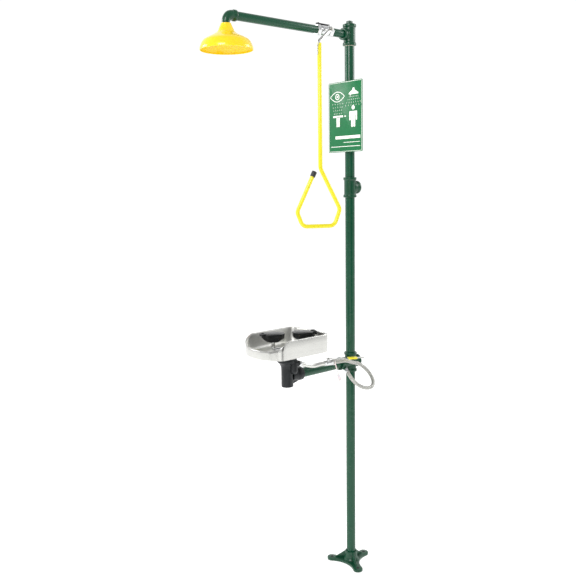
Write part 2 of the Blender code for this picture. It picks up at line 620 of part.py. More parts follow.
def bowl_outline(count):
    """Points round the bowl's plan: straight sides and rear, rounded corners and a bowed front."""
    bow = BOWL_CORNER_Y - BOWL_FRONT_Y
    radius = (BOWL_FRONT_X**2 + bow**2) / (2 * bow)
    centre_y = BOWL_FRONT_Y + radius
    half = math.asin(BOWL_FRONT_X / radius)
    front = [(radius * math.sin(a), centre_y - radius * math.cos(a)) for a in np.linspace(0, half, 6)]
    corner = [(BOWL_SIDE_X, BOWL_CORNER_Y + 3 * MM), (BOWL_SIDE_X, BOWL_REAR_Y), (0, BOWL_REAR_Y)]
    right = [Vector((*p, 0)) for p in [*front[:-1], *corner]]
    walk = [right[0], *right[1:4]]
    walk += rounded([right[4], right[5], right[6]], 26 * MM, 6)[:-1]
    walk += rounded([right[5], right[6], right[7]], 32 * MM, 6)[1:]
    points = np.array([p[:2] for p in walk])
    points = np.concatenate([points, (points * [-1, 1])[-2:0:-1]])
    ring_points = np.vstack([points, points[:1]])
    along = np.concatenate([[0], np.cumsum(np.linalg.norm(np.diff(ring_points, axis=0), axis=1))])
    at = np.linspace(0, along[-1], count, endpoint=False)
    return np.stack([np.interp(at, along, ring_points[:, k]) for k in range(2)], axis=1)


def rim_height(y):
    """The rim stands high along the sides and the rear and swoops down to the low front edge."""
    t = np.clip((-0.47 - y) / 0.075, 0, 1)
    return RIM_HIGH_Z - (RIM_HIGH_Z - RIM_LOW_Z) * t * t * (3 - 2 * t)


def eyewash_bowl():
    """Pressed stainless bowl: a skirt, a turned-over rim and a dished floor that falls to the drain hole."""
    plan = bowl_outline(44)
    centre = np.array([0, DRAIN_Y])
    rim = rim_height(plan[:, 1])
    inward = centre - plan
    inward /= np.linalg.norm(inward, axis=1)[:, None]
    rings = []
    for inset, height in ((0, BOWL_SKIRT_Z), (0, rim - 2 * MM), (1.5 * MM, rim), (6 * MM, rim),
                          (8 * MM, rim - 2 * MM), (15 * MM, 1.088), (24 * MM, 1.079)):
        rings.append(np.column_stack([plan + inward * inset, np.broadcast_to(height, len(plan))]))
    angle = np.arctan2(*(plan - centre).T[::-1])
    hole = centre + DRAIN_HOLE_R * np.column_stack([np.cos(angle), np.sin(angle)])
    edge = rings[-1][:, :2]
    for share, height in ((0.45, 1.067), (0.8, 1.0545), (1.0, BOWL_DRAIN_Z)):
        rings.append(np.column_stack([edge + (hole - edge) * share, np.full(len(plan), height)]))
    bm = bmesh.new()
    loops = [[bm.verts.new(p) for p in loop] for loop in rings]
    for a, b in zip(loops, loops[1:]):
        for j in range(len(plan)):
            k = (j + 1) % len(plan)
            bm.faces.new((a[j], a[k], b[k], b[j]))
    bowl = piece("eyewash_bowl", bm, "stainless")
    wall = bowl.modifiers.new("sheet", "SOLIDIFY")
    wall.thickness = BOWL_SHEET
    wall.offset = 0


def drain_casting():
    """Black casting under the bowl: flared drain tube, socket for the arm, inlet lobe for the supply tube."""
    place = Matrix.Translation((0, DRAIN_Y, 0))
    body = turned("drain_casting",
                  [(0, DRAIN_FOOT_Z), (DRAIN_R - 1 * MM, DRAIN_FOOT_Z), (DRAIN_R, DRAIN_FOOT_Z + 1.5 * MM),
                   (DRAIN_R, 1.002), (28 * MM, 1.014), (34 * MM, 1.024), (41.5 * MM, 1.031),
                   (41.5 * MM, DRAIN_TOP_Z), (0, DRAIN_TOP_Z)], "casting", place)
    arm = frame((0, DRAIN_Y, WASH_Z), (0, 1, 0)) @ Matrix.Rotation(math.pi / SIDES, 4, "Z")
    reach = ARM_SOCKET_Y - DRAIN_Y
    socket = turned("casting_socket",
                    [(0, 0.005), (24 * MM, 0.005), (26 * MM, reach - 30 * MM), (29 * MM, reach - 22 * MM),
                     (29 * MM, reach), (0, reach)], "casting", arm)
    web = slab("casting_web", [(0.009, 0), (reach - 12 * MM, -20 * MM), (reach - 20 * MM, -31 * MM),
                               (DRAIN_R + 3 * MM, -38 * MM), (0.009, -40.5 * MM)],
               -5 * MM, 5 * MM, "casting", frame((0, DRAIN_Y, WASH_Z), (1, 0, 0), (0, 1, 0)))
    lobe_at = INLET - INLET_AIM * 27 * MM
    lobe = turned("casting_lobe", [(0, 0.978), (10 * MM, 0.980), (16.5 * MM, 0.992), (16.5 * MM, 1.036),
                                   (14 * MM, 1.0405), (0, 1.0405)], "casting",
                  Matrix.Translation((lobe_at.x - 5 * MM, lobe_at.y, 0)))
    inlet = frame(INLET, INLET_AIM)
    boss = turned("casting_boss", rod(12.5 * MM, -28 * MM, -6.3 * MM), "casting", inlet)
    bore = turned("casting_bore", [(0, DRAIN_FOOT_Z - 0.01), (DRAIN_BORE_R, DRAIN_FOOT_Z - 0.01),
                                   (DRAIN_BORE_R, 1.010), (30 * MM, 1.033), (30 * MM, 1.06), (0, 1.06)],
                  "casting", place)
    seat = turned("casting_seat", rod(POLE_R + GAP, reach - 26 * MM, reach + 5 * MM), "casting", arm)
    tap = turned("casting_tap", rod(6.5 * MM, -22 * MM, 0), "casting", inlet, steps=12)
    fuse(body, socket, web, lobe, boss)
    cut(body, bore, seat, tap)
    low, high = CROSS_REACH - SOCKET_DEPTH + 0.5 * MM, -ARM_SOCKET_Y + 25.5 * MM
    turned("eyewash_arm", ring(POLE_BORE_R, POLE_R, low, high), "green", frame((0, 0, WASH_Z), (0, -1, 0)))
    turned("inlet_nut", [(TUBE_R + GAP, -5.7 * MM), (11.5 * MM, -5.7 * MM), (12.5 * MM, -4 * MM),
                         (12.5 * MM, 4 * MM), (11 * MM, 6 * MM), (TUBE_R + GAP, 6 * MM)], "chrome", inlet)


def drain_parts():
    """Strainer in the bowl's floor and the yoke that carries the two spray heads over it."""
    place = Matrix.Translation((0, DRAIN_Y, BOWL_DRAIN_Z + BOWL_SHEET / 2 + GAP))
    strainer = turned("bowl_strainer",
                      [(0, 0), (20 * MM, 0.3 * MM), (27 * MM, 3.6 * MM), (27.5 * MM, 4.8 * MM),
                       (24 * MM, 4.8 * MM), (18 * MM, 2.6 * MM), (0, 2.6 * MM)], "chrome", place)
    tail = turned("strainer_tail", ring(16.5 * MM, 18.5 * MM, -20 * MM, 1 * MM), "chrome", place)
    fuse(strainer, tail)
    cut(strainer, *[turned(f"strainer_hole_{i}", rod(3.2 * MM, -5 * MM, 5 * MM), "chrome",
                           place @ Matrix.Rotation(i * math.pi / 3, 4, "Z") @ Matrix.Translation((0.0115, 0, 0)),
                           steps=8) for i in range(6)])
    line = Vector((math.cos(POD_LINE), math.sin(POD_LINE), 0))
    base = Vector((0, DRAIN_Y, 1.0535))
    across_z = 1.084
    half = POD_SPACING / 2
    post = swept("spray_yoke", [base, base + Vector((0, 0, across_z - base.z))], 9 * MM, "chrome")
    ends = [Vector((0, POD_Y, 0)) + line * s * half for s in (1, -1)]
    top = POD_BASE_Z - GAP
    route = rounded([ends[0] + Vector((0, 0, top)), ends[0] + Vector((0, 0, across_z)),
                     ends[1] + Vector((0, 0, across_z)), ends[1] + Vector((0, 0, top))], 14 * MM)
    fuse(post, swept("yoke_arms", route, 8 * MM, "chrome"))


def spray_heads():
    """Two six-sided spray heads, each an open cup with a hinged dust cap."""
    for name, way in (("front", 1), ("rear", -1)):
        line = Vector((math.cos(POD_LINE), math.sin(POD_LINE), 0)) * way
        at = Vector((0, POD_Y, 0)) + line * POD_SPACING / 2
        place = frame(at, (0, 0, 1), line)
        long, wide = POD_LENGTH / 2, POD_WIDTH / 2
        levels = [(0.55, 0.60, POD_BASE_Z), (0.96, 0.96, POD_BASE_Z + 16 * MM), (1, 1, POD_TOP_Z)]
        cup = hexagonal(f"spray_head_{name}", levels, long, wide, "black", place)
        room = hexagonal(f"spray_room_{name}", [(0.80, 0.78, POD_TOP_Z - 12 * MM), (0.90, 0.88, POD_TOP_Z + 0.01)],
                         long, wide, "black", place)
        cut(cup, room)
        hinge = Vector((long + 4 * MM, 0, POD_TOP_Z + 3.5 * MM))
        thick = 3.5 * MM
        cap = hexagonal(f"dust_cap_{name}", [(1.02, 1.04, POD_TOP_Z + 0.5 * MM),
                                             (1.02, 1.04, POD_TOP_Z + 0.5 * MM + thick)],
                        long, wide, "black", place)
        barrel = turned(f"cap_barrel_{name}", rod(4 * MM, -17 * MM, 17 * MM), "black",
                        place @ frame(hinge, (0, 1, 0)), steps=12)
        fuse(cap, barrel)
        ears = []
        for side in (-1, 1):
            ears.append(block(f"cap_ear_{name}_{side}",
                              (long - 12 * MM, side * 19.5 * MM - 1.5 * MM, POD_TOP_Z - 8 * MM),
                              (long + 6.5 * MM, side * 19.5 * MM + 1.5 * MM, POD_TOP_Z + 7 * MM), "black", place))
        notch = [block(f"cap_notch_{name}_{side}",
                       (long - 14 * MM, side * 19.5 * MM - 2 * MM, POD_TOP_Z - 8 * MM),
                       (long + 10 * MM, side * 19.5 * MM + 2 * MM, POD_TOP_Z + 12 * MM), "black", place)
                 for side in (-1, 1)]
        fuse(cup, *ears)
        cut(cap, *notch)
        origin = place @ hinge
        cap.data.transform(Matrix.Translation(-hinge))
        cap.matrix_world = Matrix.Translation(origin) @ place.to_3x3().to_4x4()


def hexagonal(name, levels, long, wide, finish, place):
    """A six-sided body with pointed ends: each level is (share of length, share of width, height)."""
    corners = [(1, 0.42), (0.62, 1), (-0.62, 1), (-1, 0.42), (-1, -0.42), (-0.62, -1), (0.62, -1), (1, -0.42)]
    bm = bmesh.new()
    loops = [[bm.verts.new((x * long * a, y * wide * b, h)) for x, y in corners] for a, b, h in levels]
    for low, high in zip(loops, loops[1:]):
        for j in range(len(corners)):
            k = (j + 1) % len(corners)
            bm.faces.new((low[j], low[k], high[k], high[j]))
    bm.faces.new(loops[0])
    bm.faces.new(loops[-1])
    return piece(name, bm, finish, place)


def eyewash_supply():
    """Supply tube, valve and lever of the eyewash, and the braided hose that feeds them from the pole."""
    k = WASH_VALVE_SCALE
    end = 44.3 * MM * k
    place = frame(WASH_VALVE, WASH_FLOW, (0, 0, 1))
    stem_place, _ = ball_valve("wash", place, k, 8.5 * MM, 13 * MM, 15.3 * MM, 16)
    low, thick = 17.2 * MM, 2.2 * MM
    valve_stem("wash", stem_place, k, low - GAP, low + thick, 23.5 * MM)
    start = INLET - INLET_AIM * 5.4 * MM
    stop = WASH_VALVE - WASH_FLOW * (end + GAP)
    route = [start, INLET + INLET_AIM * 22 * MM, Vector((0.0445, -0.272, 0.9985)),
             stop - WASH_FLOW * 22 * MM, stop]
    path = smooth_route(route, 12 * MM)
    swept("supply_tube", path, TUBE_R, "stainless", bore=TUBE_R - 1.2 * MM, sides=12)

    aim = Vector((math.sin(WASH_LEVER_TURN), math.cos(WASH_LEVER_TURN), 0))
    lever_place = frame(WASH_VALVE, aim.cross(Vector((0, 0, 1))), aim)
    drop = 3.6 * MM
    path = [(-9 * MM, low + thick / 2), (0, low + thick / 2), (16 * MM, low + thick / 2),
            (24 * MM, low + thick / 2 - drop), (100 * MM, low + thick / 2 - drop),
            (WASH_LEVER_REACH, low + thick / 2 - drop)]
    lever = bar("wash_lever", path, thick, -9.5 * MM, 9.5 * MM, "stainless", lever_place)
    eye = turned("wash_lever_hole", rod(4 * MM * k + GAP, 0.012, 0.03), "stainless", stem_place, steps=12)
    cut(lever, eye)
    z = low + thick / 2 - drop
    sleeve = block("wash_lever_sleeve", (88 * MM, -11.5 * MM, z - 3.5 * MM), (129 * MM, 11.5 * MM, z + 3.5 * MM),
                   "rod_yellow", frame(WASH_VALVE, (0, 0, 1), aim))
    slot = block("sleeve_slot", (80 * MM, -9.5 * MM - GAP, z - thick / 2 - GAP),
                 (140 * MM, 9.5 * MM + GAP, z + thick / 2 + GAP), "rod_yellow", frame(WASH_VALVE, (0, 0, 1), aim))
    cut(sleeve, slot)

    turned("hose_nut_valve", [(6 * MM, end + GAP), (10.5 * MM, end + GAP), (10.5 * MM, end + 10 * MM),
                              (HOSE_R + 0.6 * MM, end + 13.5 * MM), (6 * MM, end + 13.5 * MM)],
           "chrome", place, steps=12)
    outlet = frame(OUTLET, OUTLET_AIM)
    turned("hose_outlet_nipple", ring(4.5 * MM, 6.6 * MM, 26 * MM, 50 * MM), "chrome", outlet, steps=16)
    turned("hose_nut_cross", [(6.9 * MM, 36 * MM), (10.5 * MM, 36 * MM), (10.5 * MM, 47 * MM),
                              (HOSE_R + 0.6 * MM, OUTLET_HOSE - GAP), (6.9 * MM, OUTLET_HOSE - GAP)],
           "chrome", outlet, steps=12)
    first = WASH_VALVE + WASH_FLOW * (end + 13.5 * MM + GAP)
    last = OUTLET + OUTLET_AIM * OUTLET_HOSE
    straight = 4 * MM
    inner = [first + WASH_FLOW * straight, first + WASH_FLOW * HOSE_LEADS[0], *HOSE_CONTROLS,
             last + OUTLET_AIM * HOSE_LEADS[1], last + OUTLET_AIM * straight]
    hose([first, *spline_route(inner, 26), last])


def spline_route(controls, count):
    """Points along the clamped cubic B-spline of a list of control points, evenly spaced in its parameter."""
    degree = 3
    p = np.array([tuple(c) for c in controls])
    spans = len(p) - degree
    knots = np.concatenate([np.zeros(degree), np.arange(spans + 1), np.full(degree, spans)])
    out = []
    for u in np.linspace(0, spans, count):
        k = degree + min(int(u), spans - 1)
        near = p[k - degree : k + 1].copy()
        for r in range(1, degree + 1):
            for j in range(degree, r - 1, -1):
                low, high = knots[j + k - degree], knots[j + 1 + k - r]
                near[j] += (near[j - 1] - near[j]) * (high - u) / (high - low)
        out.append(near[degree].copy())
    return out


def hose(points):
    """The braided hose as one plain round tube along its route."""
    curve = bpy.data.curves.new("braided_hose", "CURVE")
    curve.dimensions = "3D"
    spline = curve.splines.new("POLY")
    spline.points.add(len(points) - 1)
    for at, p in zip(spline.points, points):
        at.co = (*p, 1)
    curve.bevel_depth = HOSE_R
    curve.bevel_resolution = 3
    curve.use_fill_caps = True
    curve.materials.append(material("steel"))
    bpy.context.collection.objects.link(bpy.data.objects.new("braided_hose", curve))


def hang_tag():
    """Inspection tag on a strap that is looped round the hose nut."""
    place = frame(WASH_VALVE + WASH_FLOW * 29 * MM, WASH_FLOW)
    tag = turned("hang_tag", ring(11 * MM, 12.8 * MM, -2.5 * MM, 2.5 * MM), "white", place, steps=20)
    start = WASH_VALVE + WASH_FLOW * 29 * MM + Vector((0.0095, 0, -0.0075))
    aim = Vector((0.38, 0.02, -0.92)).normalized()
    strap = frame(start, aim, WASH_FLOW)
    strip = block("tag_strap", (-2.5 * MM, -0.8 * MM, 0), (2.5 * MM, 0.8 * MM, 52 * MM), "white", strap)
    card = block("tag_card", (-8.5 * MM, -0.7 * MM, 46 * MM), (8.5 * MM, 0.7 * MM, 74 * MM), "white", strap)
    fuse(tag, strip, card)


def weld_seams():
    """Merges the doubled points that a chain of cuts leaves along its seams."""
    for made in bpy.data.objects:
        if any(step.type == "BOOLEAN" for step in made.modifiers):
            weld = made.modifiers.new("seams", "WELD")
            weld.merge_threshold = 0.005 * MM


for old in list(bpy.data.objects):
    bpy.data.objects.remove(old)

floor_flange()
pole()
shower_valve()
pull_rod()
shower_arm()
shower_head()
sign()
eyewash_bowl()
drain_casting()
drain_parts()
spray_heads()
eyewash_supply()
hang_tag()
weld_seams()
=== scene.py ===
import math

import bpy
import numpy as np
from mathutils import Matrix


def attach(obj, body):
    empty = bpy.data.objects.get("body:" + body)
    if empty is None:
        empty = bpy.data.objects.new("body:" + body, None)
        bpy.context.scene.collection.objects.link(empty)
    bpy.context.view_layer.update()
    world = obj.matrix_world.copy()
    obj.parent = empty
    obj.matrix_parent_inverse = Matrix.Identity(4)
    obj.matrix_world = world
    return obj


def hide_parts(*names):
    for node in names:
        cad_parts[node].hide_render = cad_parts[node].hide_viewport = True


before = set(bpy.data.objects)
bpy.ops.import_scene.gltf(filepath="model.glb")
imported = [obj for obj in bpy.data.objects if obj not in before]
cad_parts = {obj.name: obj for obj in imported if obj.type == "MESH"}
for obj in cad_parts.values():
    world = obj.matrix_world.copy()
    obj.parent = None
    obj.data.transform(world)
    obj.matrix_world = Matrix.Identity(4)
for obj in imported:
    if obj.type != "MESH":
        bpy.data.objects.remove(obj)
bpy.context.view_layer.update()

# ---- The place it stands -------------------------------------------------------------------------
# A wide pale floor in a studio that is white behind the shower and grey elsewhere. Dark cloths hang
# where chrome needs something to mirror, and three large soft lamps stand round about. The camera is
# at the eye height of a person who stands a few steps away.


def unit(v):
    """A vector, or each row of an array of vectors, divided by its length."""
    v = np.asarray(v, float)
    return v / np.linalg.norm(v, axis=-1, keepdims=True)


def linear(code):
    """An sRGB hex colour as linear RGBA: each channel c becomes ((c + 0.055) / 1.055) to the power 2.4."""
    c = np.array([int(code[i : i + 2], 16) / 255 for i in (0, 2, 4)])
    return (*np.where(c > 0.04045, ((c + 0.055) / 1.055) ** 2.4, c / 12.92).tolist(), 1.0)


def add(tree, kind, inputs=(), **settings):
    """Adds a shader node: settings are its switches, inputs are numbers, colours or other nodes' sockets."""
    node = tree.nodes.new("ShaderNode" + kind)
    for name, value in settings.items():
        setattr(node, name, value)
    for name, value in dict(inputs).items():
        socket = node.inputs[name]
        if isinstance(value, bpy.types.NodeSocket):
            tree.links.new(value, socket)
        else:
            socket.default_value = value
    return node


def finish(name, colours, cloud, rough, smear, grain=(), stretch=(1, 1, 1), **sockets):
    """A Principled material: a cloudy mix of two hex colours, a smeary roughness between two values, and
    bumps given as (size, depth) in metres. cloud and smear are sizes in metres. stretch scales X, Y and
    Z, so a share below 1 draws the pattern out that way. The rest is set on the shader's own sockets."""
    made = bpy.data.materials.new(name)
    made.use_nodes = True
    tree = made.node_tree
    shader = tree.nodes["Principled BSDF"]
    for key, value in sockets.items():
        shader.inputs[key.replace("_", " ").title().replace("Ior", "IOR")].default_value = value
    where = add(tree, "TexCoord").outputs["Object"]
    if stretch != (1, 1, 1):
        where = add(tree, "Mapping", {"Vector": where, "Scale": stretch}).outputs["Vector"]
    clouds = add(tree, "TexNoise", {"Vector": where, "Scale": 1 / cloud, "Detail": 4.0})
    mixed = add(tree, "Mix", data_type="RGBA", inputs={"Factor": clouds.outputs["Fac"]})
    mixed.inputs[6].default_value, mixed.inputs[7].default_value = linear(colours[0]), linear(colours[1])
    tree.links.new(mixed.outputs[2], shader.inputs["Base Color"])
    smears = add(tree, "TexNoise", {"Vector": where, "Scale": 1 / smear, "Detail": 5.0, "Roughness": 0.6})
    spread = add(tree, "MapRange", {"Value": smears.outputs["Fac"], "From Min": 0.3, "From Max": 0.7,
                                    "To Min": rough[0], "To Max": rough[1]})
    tree.links.new(spread.outputs["Result"], shader.inputs["Roughness"])
    normal = None
    for size, depth in grain:
        bumps = add(tree, "TexNoise", {"Vector": where, "Scale": 1 / size, "Detail": 3.0})
        push = add(tree, "Bump", {"Height": bumps.outputs["Fac"], "Distance": depth})
        if normal:
            tree.links.new(normal, push.inputs["Normal"])
        normal = push.outputs["Normal"]
    if normal:
        tree.links.new(normal, shader.inputs["Normal"])
    return made


def axes(along, across=(1, 0, 0)):
    """Three square directions: the last runs along, the first is as near to across as it can be."""
    z = unit(along)
    x = np.asarray(across, float)
    if np.linalg.norm(np.cross(x, z)) < 0.05:
        x = np.array([0.0, 1.0, 0.0])
    x = unit(x - x @ z * z)
    return np.stack([x, np.cross(z, x), z])


def shell(grid, ring=False):
    """A closed skin through a grid of points. Columns run round and close on themselves; rows close on
    themselves if ring, or else each end is shut by one flat face. Where the volume they enclose comes
    out negative, every face is turned over, so that they all point outwards."""
    rows, cols, _ = grid.shape
    at = np.arange(rows * cols).reshape(rows, cols)
    low, high = (at, np.roll(at, -1, 0)) if ring else (at[:-1], at[1:])
    quads = np.stack([low, np.roll(low, -1, 1), np.roll(high, -1, 1), high], -1).reshape(-1, 4)
    lids = [] if ring else [at[0][::-1], at[-1]]
    points = grid.reshape(-1, 3)
    fans = [np.stack([np.full(cols - 2, lid[0]), lid[1:-1], lid[2:]], -1) for lid in lids]
    corner = points[np.vstack([quads[:, :3], quads[:, [0, 2, 3]], *fans])]
    if np.einsum("ij,ij->", corner[:, 0], np.cross(corner[:, 1], corner[:, 2])) < 0:
        quads, lids = quads[:, ::-1], [lid[::-1] for lid in lids]
    return points, quads, lids


def piece(name, shells, look, body, nodes=(), sharp=40):
    """One smooth object of closed skins, in its finish, riding its body and standing for plain solids."""
    starts = np.cumsum([0] + [len(s[0]) for s in shells])
    points = np.vstack([s[0] for s in shells])
    quads = np.vstack([s[1] + start for s, start in zip(shells, starts)])
    lids = [(lid + start).tolist() for s, start in zip(shells, starts) for lid in s[2]]
    mesh = bpy.data.meshes.new(name)
    mesh.from_pydata(points.tolist(), [], quads.tolist() + lids)
    mesh.shade_smooth()
    mesh.set_sharp_from_angle(angle=math.radians(sharp))
    mesh.materials.append(look)
    made = bpy.data.objects.new(name, mesh)
    bpy.context.scene.collection.objects.link(made)
    if body is None:
        return made
    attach(made, body)
    if nodes:
        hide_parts(*nodes)
    return made


LOOK = unit([-0.7503, 0.6467, -0.1371])
roll = math.radians(-0.85)
level = unit(np.cross(LOOK, [0, 0, 1]))
upright = np.cross(level, LOOK)
right = level * math.cos(roll) + upright * math.sin(roll)
lens = bpy.data.cameras.new("viewer")
lens.lens, lens.sensor_width, lens.clip_end = 46.375, 36.0, 200.0
viewer = bpy.data.objects.new("viewer", lens)
bpy.context.scene.collection.objects.link(viewer)
turn = np.column_stack([right, np.cross(right, LOOK), -LOOK, (2.3215, -2.3706, 1.767)])
viewer.matrix_world = Matrix(np.vstack([turn, [0, 0, 0, 1]]).tolist())
bpy.context.scene.camera = viewer
bpy.context.scene.view_settings.view_transform = "Standard"

# Smooth pale resin, matt, with the faintest cloudiness. A little light of its own keeps it as even as
# a floor under a ceiling of lamps.
resin = finish("pale_resin_floor", ("F8F8F7", "FBFBFA"), 0.6, (0.66, 0.76), 0.2, [(0.004, 0.0001)],
               emission_color=(1, 1, 1, 1), emission_strength=0.36)
round_about = np.linspace(0, 2 * math.pi, 96, endpoint=False)
reach = np.array([0.5, 2, 8, 30, 80])
disc = np.stack([np.outer(reach, np.cos(round_about)), np.outer(reach, np.sin(round_about)),
                 np.zeros((len(reach), 96))], -1)
piece("floor", [shell(np.vstack([disc, disc[::-1] - [0, 0, 0.05]]))], resin, None)

studio = bpy.data.worlds.new("studio")
studio.use_nodes = True
tree = studio.node_tree
way_out = add(tree, "TexCoord").outputs["Generated"]
far_wall = add(tree, "VectorMath", {0: way_out, 1: (-0.757, 0.653, 0.0)}, operation="DOT_PRODUCT")
ramp = add(tree, "ValToRGB", {"Fac": far_wall.outputs["Value"]})
ramp.color_ramp.elements[0].position, ramp.color_ramp.elements[0].color = 0.05, (0.55, 0.55, 0.56, 1)
ramp.color_ramp.elements[1].position, ramp.color_ramp.elements[1].color = 0.62, (1.0, 1.0, 1.0, 1)
tree.links.new(ramp.outputs["Color"], tree.nodes["Background"].inputs["Color"])
tree.nodes["Background"].inputs["Strength"].default_value = 1.06
bpy.context.scene.world = studio

for name, place, width, watts in (("lamp_front", (2.4, -4.6, 4.4), 2.4, 180),
                                  ("lamp_left", (-3.8, -3.4, 3.4), 2.2, 120),
                                  ("lamp_behind", (2.2, 4.2, 3.6), 2.4, 110)):
    lamp = bpy.data.lights.new(name, "AREA")
    lamp.energy, lamp.size = watts, width
    holder = bpy.data.objects.new(name, lamp)
    bpy.context.scene.collection.objects.link(holder)
    back = unit(np.subtract(place, (0, -0.3, 1.3)))
    side = unit(np.cross([0, 0, 1], back))
    turn = np.column_stack([side, np.cross(back, side), back, place])
    holder.matrix_world = Matrix(np.vstack([turn, [0, 0, 0, 1]]).tolist())

# Dark cloths hang out of the camera's sight, so that bright metal has edges to mirror. Black felt: it
# gives back hardly any light and no shine.
cloth_look = finish("dark_cloth", ("17181A", "1E1F21"), 0.3, (0.85, 0.95), 0.1)
for name, place, facing, half in (("cloth_right", (4.4, -0.9, 1.3), (-1, 0.15, 0), 1.2),
                                  ("cloth_left", (0.7, -5.2, 1.5), (-0.1, 1, 0), 0.26)):
    out = unit(facing)
    rise, side, _ = axes(out, (0, 0, 1))
    edge = np.array([[-half, -1.4], [half, -1.4], [half, 1.6], [-half, 1.6]])
    face = edge[:, :1] * side + edge[:, 1:] * rise + place
    cloth = piece(name, [shell(np.stack([face, face - out * 0.02]))], cloth_look, None)
    cloth.visible_camera = False

# ---- Braided hose --------------------------------------------------------------------------------
# A rubber tube in a sleeve woven from stainless wire, 16.5 mm across and half a metre long. It leaves
# the eyewash valve, passes in front of the pole, loops down beside it and comes back to a threaded
# nipple under the branch of the cross. A crimped nut holds each end.
mm = 0.001


def clamped_spline(controls, count):
    """Points on a cubic B-spline that starts and ends on its first and last control points. Its weights
    are built up from steps by the Cox-de Boor rule, for all the points at once."""
    p = np.array(controls, float)
    spans = len(p) - 3
    knots = np.concatenate([np.zeros(3), np.arange(spans + 1), np.full(3, spans)]).astype(float)
    u = np.linspace(0, spans - 1e-9, count)[:, None]
    weight = ((u >= knots[:-1]) & (u < knots[1:])).astype(float)
    for d in range(1, 4):
        first, last = knots[: -d - 1], knots[d + 1 :]
        rise, fall = knots[d:-1] - first, last - knots[1:-d]
        up = (u - first) / np.where(rise > 0, rise, 1) * (rise > 0)
        down = (last - u) / np.where(fall > 0, fall, 1) * (fall > 0)
        weight = up * weight[:, :-1] + down * weight[:, 1:]
    return weight @ p


def eased(points, radius, closed=False, count=5):
    """The corners of a path in any number of dimensions, each replaced by a short parabola. The parabola
    starts and ends at radius from the corner, or half way along a side that is shorter than that."""
    p = np.array(points, float)
    before, after = np.roll(p, 1, 0) - p, np.roll(p, -1, 0) - p
    gone, left = np.linalg.norm(before, axis=1), np.linalg.norm(after, axis=1)
    r = np.broadcast_to(radius, len(p))
    a = p + before * (np.minimum(r, 0.45 * gone) / np.maximum(gone, 1e-9))[:, None]
    b = p + after * (np.minimum(r, 0.45 * left) / np.maximum(left, 1e-9))[:, None]
    t = np.linspace(0, 1, count)[:, None, None]
    arc = ((1 - t) ** 2 * a + 2 * t * (1 - t) * p + t**2 * b).transpose(1, 0, 2)
    if closed:
        return arc.reshape(-1, p.shape[1])
    return np.vstack([p[:1], arc[1:-1].reshape(-1, p.shape[1]), p[-1:]])


def circle(count, radius=1.0):
    """Points round a circle, as columns of cosine and sine."""
    a = np.arange(count) * 2 * math.pi / count
    return radius * np.column_stack([np.cos(a), np.sin(a)])


def carried(path, outline):
    """A 2D outline carried along a path, square to it at every station and without twist. The outline is
    one closed curve, or one for each station. Each station's axes are the last ones turned by the least."""
    path = np.asarray(path, float)
    run = unit(np.gradient(path, axis=0))
    side = axes(run[0], (1, 0, 0) if abs(run[0][0]) < 0.9 else (0, 1, 0))[0]
    sides = []
    for z in run:
        side = unit(side - side @ z * z)
        sides.append(side)
    x = np.array(sides)
    y = np.cross(run, x)
    o = np.broadcast_to(outline, (len(path), *np.shape(outline)[-2:]))
    return path[:, None] + o[..., :1] * x[:, None] + o[..., 1:] * y[:, None]


def spun(profile, origin, along, ease=0.0, sides=64, ring=False, across=(1, 0, 0), form=None):
    """A profile of (radius, height) points spun round an axis through origin. ring joins its last point to
    its first. form is an outline of unit size to spin through instead of a circle, such as a hexagon."""
    p = eased(profile, ease, ring) if ease else np.array(profile, float)
    x, y, z = axes(along, across)
    way = (circle(sides) if form is None else form) @ np.stack([x, y])
    return shell(np.asarray(origin) + p[:, :1, None] * way + p[:, 1:, None] * z, ring)


def slab(outline, low, high, frame_of, origin, edge=0.4 * mm):
    """A flat closed outline given thickness between two heights, its edges eased by drawing the first and
    last rings in along the outline's normals. frame_of holds its X, Y and Z directions."""
    o = np.array(outline, float)
    run = unit(np.roll(o, -1, 0) - np.roll(o, 1, 0))
    normal = np.column_stack([run[:, 1], -run[:, 0]])
    if np.sum(o[:, 0] * np.roll(o[:, 1], -1) - np.roll(o[:, 0], -1) * o[:, 1]) < 0:
        normal = -normal
    bend = np.array([[1, 0], [0.3, 0.3], [0, 1]]) * edge
    levels = [(i, low + h) for i, h in bend] + [(i, high - h) for i, h in bend[::-1]]
    rows = np.array([np.column_stack([o - normal * i, np.full(len(o), h)]) for i, h in levels])
    return shell(np.asarray(origin) + rows @ np.stack(frame_of))


HOSE_RADIUS = 8.25 * mm
VALVE_AT = np.array([0.056, -0.194, 1.003])
FLOW, HALF_VALVE = unit([0.17, 0.985, -0.03]), 22.15 * mm
OUTLET_AT, OUTLET_AIM = np.array([0, -0.052, 0.968]), unit([0.75, -0.12, -0.65])
hose_start = VALVE_AT + FLOW * (HALF_VALVE + 13.8 * mm)
hose_stop = OUTLET_AT + OUTLET_AIM * 54 * mm
CONTROLS = [(0.0781, -0.1058, 1.0063), (0.0855, -0.0675, 0.9846), (0.0282, 0.0153, 0.9667),
            (0.0485, 0.0640, 0.9252), (0.0889, 0.0617, 0.8840), (0.1180, 0.0198, 0.8632),
            (0.1149, -0.0344, 0.8697), (0.0846, -0.0659, 0.8985)]
route = clamped_spline([hose_start + FLOW * 4 * mm, hose_start + FLOW * 24 * mm, *CONTROLS,
                        hose_stop + OUTLET_AIM * 21 * mm, hose_stop + OUTLET_AIM * 4 * mm], 150)
route = np.vstack([hose_start, hose_start + FLOW * 2 * mm, route, hose_stop + OUTLET_AIM * 2 * mm, hose_stop])
along = np.concatenate([[0], np.cumsum(np.linalg.norm(np.diff(route, axis=0), axis=1))])

